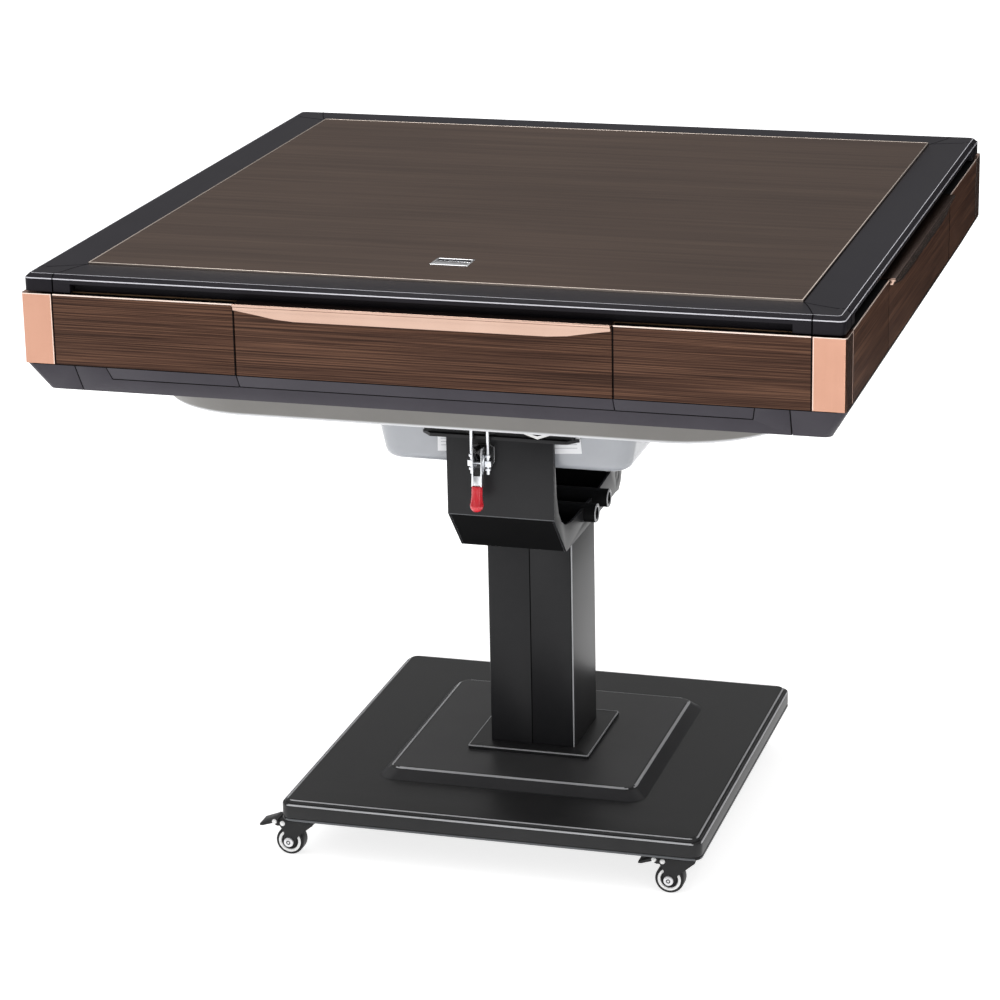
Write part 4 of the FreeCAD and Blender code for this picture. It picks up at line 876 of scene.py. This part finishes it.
for yn, sy in (("front", -1), ("rear", 1)):
    for xn, sx in (("left", -1), ("right", 1)):
        b_ = yn + "_" + xn
        ox, oy = sx * 0.243, sy * 0.243
        wheel_body, fork_body = NODE[b_ + "_wheel"]["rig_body"], NODE[b_ + "_fork"]["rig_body"]
        refine(b_ + "_fork", M_CASTER, 0.0006)
        for nm, prof, mt, sl in (("tyre", TYRE, M_TYRE, "tyre"), ("ring", RING, M_WHITE, None), ("hub", HUB, M_CASTER, "caster_black")):
            bm = bmesh.new()
            bm_lathe(bm, mm(prof), (ox - 0.018, oy, 0.018), (0, 1, 0), 72, ring=True)
            add(b_ + "_wheel_" + nm, bm, mt, wheel_body, b_ + "_wheel" if nm == "tyre" else (), sharp=38.0)
        for s_, en in ((-1, "a"), (1, "b")):
            bm = bmesh.new()
            bm_lathe(bm, mm([(0.01, 15.0), (1.3, 15.0), (1.6, 14.3), (2.5, 14.3), (2.8, 14.95), (4.9, 14.7), (5.9, 14.1), (6.1, 13.3), (6.1, 12.1)]), (ox - 0.018, oy, 0.018), (0, s_, 0), 40)
            add(b_ + "_axle_head_" + en, bm, M_ZINC_DOT, fork_body, sharp=40.0)
            if yn == "front":
                bm = bmesh.new()
                bm_lathe(bm, mm([(0.01, 14.3), (1.4, 14.2), (2.6, 13.7), (3.2, 12.9), (3.35, 12.1)]), (ox - 0.0255, oy, 0.0423), (0, s_, 0), 32)
                add(b_ + "_fork_rivet_" + en, bm, M_WHITE, fork_body, sharp=60.0)
                bm = bmesh.new()
                bm_lathe(bm, mm([(0.01, 14.1), (1.4, 14.0), (2.5, 13.5), (3.0, 12.9), (3.15, 12.1)]), (ox - 0.0362, oy, 0.0438), (0, s_, 0), 32)
                add(b_ + "_pedal_rivet_" + en, bm, M_WHITE, NODE[b_ + "_brake"]["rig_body"], sharp=60.0)
        if yn == "front":
            refine(b_ + "_brake", M_CASTER, 0.0007)

# ------------------------------------------------------------------ stage and light
bm = bmesh.new()
bm_box(bm, (-40.0, -40.0, -0.02), (40.0, 40.0, 0.0))
me = bpy.data.meshes.new("floor")
bm.to_mesh(me)
bm.free()
floor = bpy.data.objects.new("floor", me)
SCENE.collection.objects.link(floor)
mf = Mat("floor_pale", rough=0.85)
mf.color(mf.ramp(mf.noise(mf.co, 0.6, 2.0), [(0.3, (0.66, 0.66, 0.66, 1)), (0.7, (0.68, 0.68, 0.68, 1))]))
mf.set(Emission_Color=(1.0, 1.0, 1.0, 1.0), Emission_Strength=0.78)
me.materials.append(mf.m)

for nm, lo, hi in (("flag_right", (1.60, -1.10, 0.10), (1.61, 1.30, 1.70)), ("flag_back_right", (0.44, 1.00, 0.06), (1.50, 1.01, 1.00))):
    bm = bmesh.new()
    bm_box(bm, lo, hi)
    me = bpy.data.meshes.new(nm)
    bm.to_mesh(me)
    bm.free()
    flag = bpy.data.objects.new(nm, me)
    SCENE.collection.objects.link(flag)
    mk = Mat(nm + "_black", rough=0.9)
    mk.color(mk.ramp(mk.noise(mk.co, 3.0, 2.0), [(0.3, (0.020, 0.018, 0.018, 1)), (0.7, (0.026, 0.024, 0.023, 1))]))
    me.materials.append(mk.m)
    flag.visible_camera = False

world = bpy.data.worlds.new("studio")
SCENE.world = world
world.use_nodes = True
wn = world.node_tree
bg = wn.nodes["Background"]
bg.inputs["Color"].default_value = (1.0, 1.0, 1.0, 1.0)
w_co = wn.nodes.new("ShaderNodeTexCoord")
w_sep = wn.nodes.new("ShaderNodeSeparateXYZ")
w_pow = wn.nodes.new("ShaderNodeMath")
w_pow.operation = "POWER"
w_pow.use_clamp = True
w_pow.inputs[1].default_value = 1.8
w_rng = wn.nodes.new("ShaderNodeMapRange")
w_rng.inputs["From Min"].default_value = 0.0
w_rng.inputs["From Max"].default_value = 1.0
w_rng.inputs["To Min"].default_value = 0.16
w_rng.inputs["To Max"].default_value = 1.75
wn.links.new(w_co.outputs["Generated"], w_sep.inputs[0])
wn.links.new(w_sep.outputs["Z"], w_pow.inputs[0])
wn.links.new(w_pow.outputs["Value"], w_rng.inputs["Value"])
wn.links.new(w_rng.outputs["Result"], bg.inputs["Strength"])
SCENE.view_settings.view_transform = "Standard"


def area(name, loc, target, size, radiance, size_y=None):
    """Softbox of a given brightness, seen in reflections but not by the camera."""
    d = bpy.data.lights.new(name, "AREA")
    d.shape = "RECTANGLE"
    d.size = size
    d.size_y = size_y or size
    d.energy = radiance * math.pi * d.size * d.size_y
    o = bpy.data.objects.new(name, d)
    SCENE.collection.objects.link(o)
    o.location = loc
    o.rotation_euler = (Vector(target) - Vector(loc)).to_track_quat("-Z", "Y").to_euler()
    o.visible_camera = False
    return o


area("overhead_strip", (-0.68, -0.30, 3.0), (-0.2, -0.2, 0.5), 2.4, 7.0, 0.35)
area("right_card", (1.50, -1.25, 0.80), (0.40, -0.45, 0.62), 0.12, 6.0, 0.9)
area("back_strip", (1.3, 4.2, 1.55), (0.3, 0, 0.7), 1.2, 2.0, 0.25)
area("low_front", (0.7, -3.4, 0.45), (0.0, -0.2, 0.40), 1.8, 1.0, 0.5)
area("left_fill", (-2.4, -3.0, 1.5), (0, 0, 0.6), 1.2, 1.2, 1.2)
